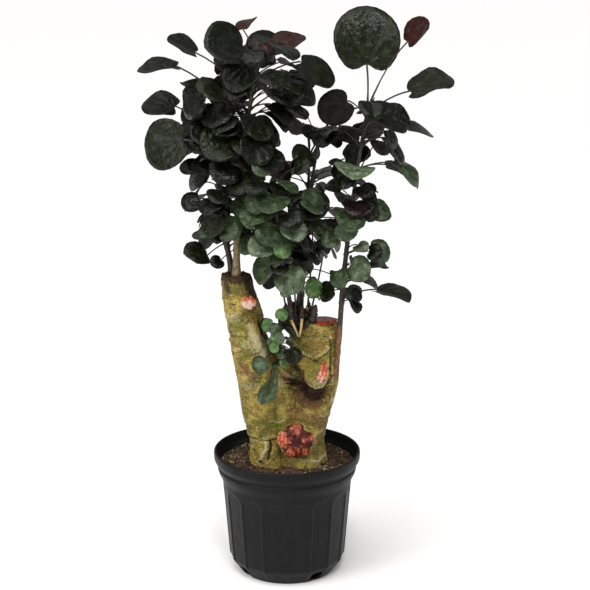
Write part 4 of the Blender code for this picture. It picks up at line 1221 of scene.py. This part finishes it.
def planLeaves():
    steps = growth["stemSteps"]
    stems = {name: [stemPoint(shoot, i / steps) for i in range(steps + 1)] for name, shoot in shoots.items()}
    placed = []
    for name, shoot in shoots.items():
        for height, bearing, reach, lift, width, *facing in shoot["leads"]:
            lead = layLeaf(shoot, height / 1000, bearing, reach / 1000, lift / 1000, width / 1000, *facing)
            placeFirst(name, [lead], placed, stems)
    for name, shoot in shoots.items():
        for number in reversed(range(shoot["leaves"])):
            draw = random.Random(f"{name} {number}")
            placeFirst(name, (ruleLeaf(shoot, number, draw) for _ in range(growth["tries"])), placed, stems)
    placed = [
        (name, leaf) for name, leaf in placed if leaf["tone"] or leaf["centre"].y > filling["keptBack"]
        or not closesOpening(leaf, filling["ruleSolid"])
    ]
    for name, leaves in lateLeaves.items():
        for x, y, z, width, *facing in leaves:  # towards the front until it has room
            steps = (late["step"] * i for i in range(late["tries"]))
            size = (z / 1000, width / 1000)
            choices = (lateLeaf(shoots[name], x / 1000, y / 1000 - step, *size, *facing) for step in steps)
            placeFirst(name, choices, placed, stems, late["room"])
    for name, shoot in shoots.items():  # younger leaves, on shorter stalks, close the gaps inside the crown
        for number in range(round(shoot["leaves"] * filling["more"][name])):
            draw = random.Random(f"young {name} {number}")
            drawn = (youngLeaf(shoot, draw) for _ in range(filling["tries"]))
            choices = (leaf for leaf in drawn if not closesOpening(leaf, filling["solid"]))
            placeFirst(name, choices, placed, stems, filling["room"])
    return placed


blade = dict(
    notchDepth=0.32, notchAngle=20, rimStretch=0.03, cup=0.10, cupRaise=0.35, sinus=-0.62, foldHeight=0.6,
    thickness=0.00055, veinShare=0.013, veinTaper=(1.1, 0.75), fullDetail=0.062, wave=0.034, bulge=0.034,
    bulgeWithin=140, pucker=(0.030, 3.2), uneven=0.035,
    full=dict(veins=7, between=2, rings=(0.24, 0.50, 0.72, 0.89, 1.0), lobe=(-180, -172, -163, -153, -144)),
    plain=dict(veins=5, between=2, rings=(0.50, 1.0), lobe=(-180, -167, -151)),
    lobeEnd=135, cupRange=(0.3, 2.2), foldRange=(0.0, 0.34), curlRange=(-0.05, 0.20), waveRange=(0.4, 1.8),
)


def rimRadius(angle):
    fromNotch = math.degrees(abs(math.remainder(angle - math.pi, math.tau)))
    notch = blade["notchDepth"] * bell(fromNotch / blade["notchAngle"])
    return 1 - notch + blade["rimStretch"] * math.cos(angle)


def bladeRays(veins, between, lobe):  # bearing of each ray from the centre, and -1 or 1 at a vein's two edges
    rays = [(bearing, 0) for bearing in lobe]
    gap = 2 * blade["lobeEnd"] / (veins - 1)
    for number in range(veins):
        bearing = gap * number - blade["lobeEnd"]
        rays += [(bearing, -1), (bearing, 1)]
        if number < veins - 1:
            rays += [(bearing + gap * (i + 1) / (between + 1), 0) for i in range(between)]
    return rays + [(-bearing, 0) for bearing in reversed(lobe[1:])]


def bladePattern(veins, between, rings, lobe):  # a flat disc of rays and rings with a thin underside
    rays = bladeRays(veins, between, lobe)
    mesh = bmesh.new()
    drawLine(mesh, [(share, 0, 0) for share in (0.0, *rings)])
    spinRound(mesh, len(rays), 1e-5)
    turnOut(mesh)
    if next(iter(mesh.faces)).normal.z < 0:
        bmesh.ops.reverse_faces(mesh, faces=mesh.faces)
    bmesh.ops.solidify(mesh, geom=mesh.faces, thickness=1)
    turnOut(mesh)
    lift = -max(vert.co.z for vert in mesh.verts)
    for vert in mesh.verts:
        vert.co.z += lift
    step = math.tau / len(rays)
    for face in mesh.faces:
        face.material_index = 2
        if face.normal.z > 0.5:
            centre = face.calc_center_median()
            index = int((math.atan2(centre.y, centre.x) % math.tau) / step)
            face.material_index = 1 if rays[index][1] == -1 else 0
        face.smooth = True
    return asData(mesh, "bladePattern"), rays


def shapeBlade(mesh, leaf, rays, draw):  # bends a copy of the pattern to one leaf
    half, step = leaf["width"] / 2, math.tau / len(rays)
    oval, corner = (draw.uniform(-blade["uneven"], blade["uneven"]) for _ in range(2))
    ovalTurn, cornerTurn = (draw.uniform(0, math.tau) for _ in range(2))
    cup, fold, curl = (draw.uniform(*blade[key]) for key in ("cupRange", "foldRange", "curlRange"))
    waves, phase, wave = draw.choice((3, 4, 5)), draw.uniform(0, math.tau), draw.uniform(*blade["waveRange"])
    start = Vector((blade["sinus"], 0))
    depth, folds = blade["pucker"]
    veinFoot, veinFall = blade["veinTaper"]
    for vert in mesh.verts:
        share = vert.co.xy.length
        bearing, side = rays[round((math.atan2(vert.co.y, vert.co.x) % math.tau) / step) % len(rays)]
        angle = math.radians(bearing)
        uneven = 1 + oval * math.sin(2 * angle + ovalTurn) + corner * math.sin(3 * angle + cornerTurn)
        radius = rimRadius(angle) * uneven
        ray = Vector((math.cos(angle), math.sin(angle))) * radius - start
        spot = start + ray * share
        if side and share > 0.01:
            spot += ray.normalized().orthogonal() * side * blade["veinShare"] * (veinFoot - veinFall * share)
        cupped = blade["cup"] * cup * (blade["cupRaise"] * spot.length_squared - spot.x ** 2)
        height = cupped + fold * abs(spot.y) * blade["foldHeight"] - curl * max(0.0, spot.x) ** 2
        if not side and abs(bearing) < blade["bulgeWithin"]:
            height += blade["bulge"] * math.sin(math.pi * min(1.0, share * 0.9))
        height += blade["wave"] * wave * share ** 3 * math.sin(waves * angle + phase)
        height += depth * share * noise.noise(Vector((spot.x * folds, spot.y * folds, phase * 9)))
        thick = blade["thickness"] * (vert.co.z < -0.5)
        vert.co = (
            leaf["centre"] + leaf["along"] * spot.x * half + leaf["across"] * spot.y * half
            + leaf["normal"] * (height * half - thick)
        )
        if thick and share < 0.01:
            leaf["sinusAt"] = vert.co.copy()


# leaf tones: the blade's top, its veins, its underside and the painted sheen in patches on its top
tones = {
    "dark": ("#0e1008", "#171a0e", "#19160f", "#1f2217"),
    "plum": ("#170f0c", "#1f1612", "#1f1410", "#261b15"),
    "olive": ("#14170b", "#20240f", "#1f1b14", "#282c1a"),
    "green": ("#2c3822", "#4a573c", "#2e3226", "#55654a"),
    "grey": ("#46533b", "#76826c", "#484e40", "#808b73"),
    "bright": ("#425d2f", "#68845a", "#48583a", "#7a985f"),
    "young": ("#280f09", "#3a1b11", "#301610", "#3c1a11"),
    "veined": ("#111409", "#212512", "#1f1b14", "#262a19"),
    "deep": ("#0a0806", "#141109", "#14100c", "#191510"),
}
toneShares = dict(  # how often a tone comes high in the crown and low in it
    high={"dark": 0.60, "plum": 0.12, "olive": 0.20, "green": 0.02, "grey": 0.0, "bright": 0.0},
    low={"dark": 0.30, "plum": 0.02, "olive": 0.12, "green": 0.32, "grey": 0.24, "bright": 0.025},
    crotch={"dark": 0.10, "green": 0.45, "grey": 0.20, "bright": 0.25},
    lowFrom=0.74, lowRun=0.16, raised={"front": 0.10, "middle": 0.08, "left": 0.03}, much={"rear": 0.6},
)
leafGloss = {"deep": (0.50, 0.08), "other": (0.25, 0.21)}  # roughness and shine of the blade's top
leafLooks = {}


def leafTone(name, leaf, draw):  # darker and redder high in the crown, greener low and in front
    if leaf["tone"]:
        return leaf["tone"]
    lowFrom = toneShares["lowFrom"] + toneShares["raised"].get(name, 0.0)
    low = ease((lowFrom - leaf["centre"].z) / toneShares["lowRun"]) * toneShares["much"].get(name, 1.0)
    weights = {tone: mix(share, toneShares["low"][tone], low) for tone, share in toneShares["high"].items()}
    if name == "crotch":
        weights = toneShares["crotch"]
    return draw.choices(list(weights), list(weights.values()))[0]


def leafLamina(name, base, gloss, paintedSheen, shine):
    # leathery aralia leaf: a waxy skin, nearly black green with painted sheen in pale patches, finely
    # puckered
    made, tree, shader, place = startMaterial(name, base, gloss, IOR=1.45, Specular_IOR_Level=shine)
    shades = []
    for value, saturation in ((0.66, 1.05), (1.35, 0.95)):
        settings = {"Color": toLinear(base), "Value": value, "Saturation": saturation}
        shades.append(addNode(tree, "ShaderNodeHueSaturation", settings).outputs[0])
    colour = blendColours(tree, patchMask(tree, place, 14, 0.35, 0.65, detail=4.0), *shades)
    # pale patches of painted sheen, lighter than the base
    colour = addPatches(tree, place, colour, paintedSheen, 13, 0.48, 0.74, shift=0.7, detail=6.0)
    tree.links.new(colour, shader.inputs["Base Color"])
    addRelief(tree, shader, place, 9, 2.6, 1.0, detail=2.5)
    return made


def toneLooks(tone):
    if tone not in leafLooks:
        top, vein, under, paintedSheen = tones[tone]
        gloss, shine = leafGloss.get(tone, leafGloss["other"])
        leafLooks[tone] = [
            leafLamina(tone + "Blade", top, gloss, paintedSheen, shine),
            leafLamina(tone + "Vein", vein, 0.45, vein, shine),
            leafLamina(tone + "Underside", under, 0.60, under, shine),
        ]
    return leafLooks[tone]


def shootBark(name, base, light, dark):
    # smooth young aralia bark: dark purple brown, with paler corky flecks where it ages
    made, tree, shader, place = startMaterial(name, base, 0.55, IOR=1.45)
    colour = addPatches(tree, place, base, light, 3.5, 0.56, 0.70, stretch=(1, 1, 0.5), detail=4.0)
    colour = addPatches(tree, place, colour, dark, 6, 0.5, 0.7, shift=0.6, detail=4.0)
    tree.links.new(colour, shader.inputs["Base Color"])
    addRelief(tree, shader, place, 1.8, 0.3, 0.6)
    return made


twigBark = shootBark("greenTwigSkin", "#2b241c", "#3a3826", "#1d1614")
boughBarks = {
    "dark": shootBark("darkShootBark", "#2f251c", "#57493a", "#1d1613"),
    "tan": shootBark("tanShootBark", "#7d6a47", "#a5946c", "#54422a"),
    "tip": shootBark("greenShootTip", "#565231", "#8a7a55", "#3d3422"),
    "grown": shootBark("grownOverBark", "#6a4526", "#8f6f3f", "#4a2c18"),
}


# what is left of older shoots on the right cut, metres: scaly stubs, thin stems and dry sticks
oldShoots = dict(
    stubs=dict(
        count=38, x=(0.021, 0.013), y=(-0.014, 0.018), foot=0.468, height=(0.012, 0.050),
        radius=(0.0030, 0.0072), lean=(9, 6), mostLean=0.009, sides=14,
        rough=0.0019, scales=((4.2, 1), (1.8, 0.7)),
    ),
    profile=(  # along a stub, and how far it swells
        (0.0, 1.5), (0.13, 1.05), (0.17, 1.30), (0.33, 0.95), (0.37, 1.22), (0.53, 0.86), (0.57, 1.14),
        (0.73, 0.72), (0.77, 0.98), (0.92, 0.52), (1.0, 0.20),
    ),
    stems=(
        ((0.004, -0.022, 0.476), (-0.012, -0.030, 0.610)), ((0.018, -0.028, 0.476), (0.014, -0.034, 0.600)),
        ((0.034, -0.016, 0.476), (0.046, -0.012, 0.640)), ((0.028, 0.008, 0.476), (0.018, 0.030, 0.650)),
        ((0.040, 0.004, 0.476), (0.070, 0.020, 0.620)),
    ),
    sticks=(
        ((0.008, -0.047, 0.487), (0.0200, -0.0468, 0.457)),
        ((0.027, -0.050, 0.490), (0.0225, -0.0470, 0.456)),
    ),
    radii=dict(stems=0.0016, sticks=0.0021), steps=6, sway=0.04, taper=(1.2, 0.8), sides=7, dryBelow=0.491,
)


def addStub(mesh, draw):
    values = oldShoots["stubs"]
    shares, swells = zip(*oldShoots["profile"])
    x, y = draw.gauss(*values["x"]), draw.gauss(*values["y"])
    foot = Vector((x, y, values["foot"]))
    foot.z -= topFall(foot)
    leanX, leanY = values["lean"]
    way = Vector(((x - values["x"][0]) * leanX, (y - values["y"][0]) * leanY, 1))
    way *= draw.uniform(*values["height"])
    way.x, way.y = (max(-values["mostLean"], min(values["mostLean"], lean)) for lean in way.xy)
    radius = draw.uniform(*values["radius"])
    points = [foot + way * share for share in shares]
    addTube(mesh, points, [radius * swell for swell in swells], values["sides"])


def buildOldShoots():
    draw = random.Random("old shoots")
    mesh = bmesh.new()
    values, steps = oldShoots["stubs"], oldShoots["steps"]
    for _ in range(values["count"]):
        addStub(mesh, draw)
    turnOut(mesh)
    bmesh.ops.subdivide_edges(mesh, edges=mesh.edges, cuts=1, use_grid_fill=True)
    mesh.normal_update()
    for vert in mesh.verts:
        scales = sum(much * noise.noise(vert.co * 1000 / size) for size, much in values["scales"])
        vert.co += vert.normal * values["rough"] * scales
    first = len(mesh.faces)
    for kind, radius in oldShoots["radii"].items():
        for low, high in oldShoots[kind]:
            low, high = Vector(low), Vector(high)
            sway = Vector((draw.uniform(-1, 1), draw.uniform(-1, 1), 0))
            sway = sway * (high - low).length * oldShoots["sway"]
            points, radii = [], []
            for i in range(steps + 1):
                points.append(low.lerp(high, i / steps) + sway * math.sin(math.pi * i / steps))
                radii.append(radius * mix(*oldShoots["taper"], i / steps))
            addTube(mesh, points, radii, oldShoots["sides"])
    turnOut(mesh)
    mesh.faces.ensure_lookup_table()
    for face in mesh.faces[first:]:
        face.material_index = 1 if face.calc_center_median().z > oldShoots["dryBelow"] else 2
    looks = [
        shootBark("scalyStubBark", "#2b1d14", "#4f3929", "#140c08"), boughBarks["dark"],
        shootBark("drySkin", "#b09a68", "#cdb98a", "#85703f"),
    ]
    finishPiece(mesh, "oldShoots", looks, ("limb_right",))


buildOldShoots()
print("old shoots set")


bark = dict(
    node=0.0011, nodeHeight=0.0022, nodeFall=0.4, rough=0.00035, roughSizes=(3.5, 9), rowHeight=0.0042,
    sides=10, sunk=0.012, footSwell=0.45, footHeight=0.010, tipShare=0.6, edgeSize=0.004, edgeGrain=200,
    zones={"left": (0.640, 0.860), "front": (0.495, 9), "middle": (0.490, 9)},  # tan below, green above
    grownFeet={"right": dict(
        top=0.455, thin=0.30, shift=(-0.007, 0.006, 0.0), back=(0, 0.01, 0), margin=0.012,
    )},
)
petiole = dict(
    radii=(0.0026, 0.0018, 0.0013, 0.0013, 0.0013, 0.0013, 0.0014, 0.0009), thick=(0.62, 0.16), sides=6,
    sway=0.03, under=0.0003,
)


def addTo(total, mesh):  # joins a small mesh to a larger one
    data = asData(mesh, "part")
    total.from_mesh(data)
    bpy.data.meshes.remove(data)


def buildBough(name, shoot, roots):
    foot, top = shoot["foot"][2], shoot["tip"][2]
    count = round((top - foot) / bark["rowHeight"])
    grown = bark["grownFeet"].get(name)  # where the stump has grown over a shoot's foot
    points, radii = [], []
    for row in range(count + 1):
        share = row / count
        point = stemPoint(shoot, share)
        radius = mix(*shoot["radii"], share)
        if grown:
            free = ease((point.z - foot) / (grown["top"] - foot))
            radius *= mix(grown["thin"], 1.0, free)
            point = point + Vector(grown["shift"]) * (1 - free)
        else:
            radius *= 1 + bark["footSwell"] * math.exp(-(point.z - foot) / bark["footHeight"])
        near = min((abs(point.z - root) for root in roots), default=1)
        radius += bark["node"] * (1 - bark["nodeFall"] * share) * bell(near / bark["nodeHeight"])
        points.append(point)
        radii.append(radius)
    points.insert(0, points[0] - Vector((0, 0, bark["sunk"])) + Vector(grown["back"] if grown else (0, 0, 0)))
    radii.insert(0, radii[0])
    radii[-1] *= bark["tipShare"]
    mesh = bmesh.new()
    addTube(mesh, points, radii, bark["sides"])
    turnOut(mesh)
    mesh.normal_update()
    fine, coarse = bark["roughSizes"]
    for vert in mesh.verts:
        rough = noise.noise(vert.co * 1000 / fine) + noise.noise(vert.co * 1000 / coarse)
        vert.co += vert.normal * bark["rough"] * rough
    low, high = bark["zones"].get(name, (0, 9))
    for face in mesh.faces:
        middle = face.calc_center_median()
        height = middle.z + bark["edgeSize"] * noise.noise(middle * bark["edgeGrain"])
        grownOver = grown and height < grown["top"] + grown["margin"]
        face.material_index = 3 if grownOver else 1 if height < low else 2 if height > high else 0
    return mesh


def petioleWay(leaf, draw):  # from inside the stem, over the elbow, to the notch of the blade
    root, elbow, joint = leaf["root"], leaf["elbow"], leaf["joint"]
    control = elbow * 2 - (root + joint) / 2
    sway = leaf["across"] * draw.uniform(-petiole["sway"], petiole["sway"]) * (joint - root).length
    steps = len(petiole["radii"]) - 2
    points = []
    for share in [i / steps for i in range(steps + 1)]:
        point = root * (1 - share) ** 2 + control * 2 * share * (1 - share) + joint * share ** 2
        points.append(point + sway * math.sin(math.pi * share))
    return points + [leaf["sinusAt"] - leaf["normal"] * petiole["under"]]


def buildShoot(name, leaves, patterns):
    total, twigs = bmesh.new(), bmesh.new()
    looks, used = [], {}
    for number, leaf in enumerate(leaves):
        draw = random.Random(f"look {name} {number}")
        tone = leafTone(name, leaf, draw)
        if tone not in used:
            used[tone] = len(looks)
            looks += toneLooks(tone)
        pattern, rays = patterns["full" if leaf["width"] > blade["fullDetail"] else "plain"]
        mesh = bmesh.new()
        mesh.from_mesh(pattern)
        shapeBlade(mesh, leaf, rays, draw)
        for face in mesh.faces:
            face.material_index += used[tone]
        addTo(total, mesh)
        mesh = bmesh.new()
        least, run = petiole["thick"]
        radii = [radius * (least + leaf["width"] / run) for radius in petiole["radii"]]
        addTube(mesh, petioleWay(leaf, draw), radii, petiole["sides"])
        turnOut(mesh)
        addTo(twigs, mesh)
    finishPiece(total, "leaves_" + name, looks, ("foliage_" + name,))
    finishPiece(twigs, "twigs_" + name, [twigBark], ("foliage_" + name,))


def buildPlant():
    placed = planLeaves()
    patterns = {key: bladePattern(**blade[key]) for key in ("full", "plain")}
    boughs = bmesh.new()
    for name, shoot in shoots.items():
        leaves = [leaf for owner, leaf in placed if owner == name]
        addTo(boughs, buildBough(name, shoot, [leaf["root"].z for leaf in leaves]))
        buildShoot(name, leaves, patterns)
        print("shoot", name, "with", len(leaves), "leaves")
    replaced = ["bough_" + name for name in shoots] + ["foliage_" + name for name in shoots]
    finishPiece(boughs, "boughs", list(boughBarks.values()), replaced)


buildPlant()
print("shoots and leaves grown")
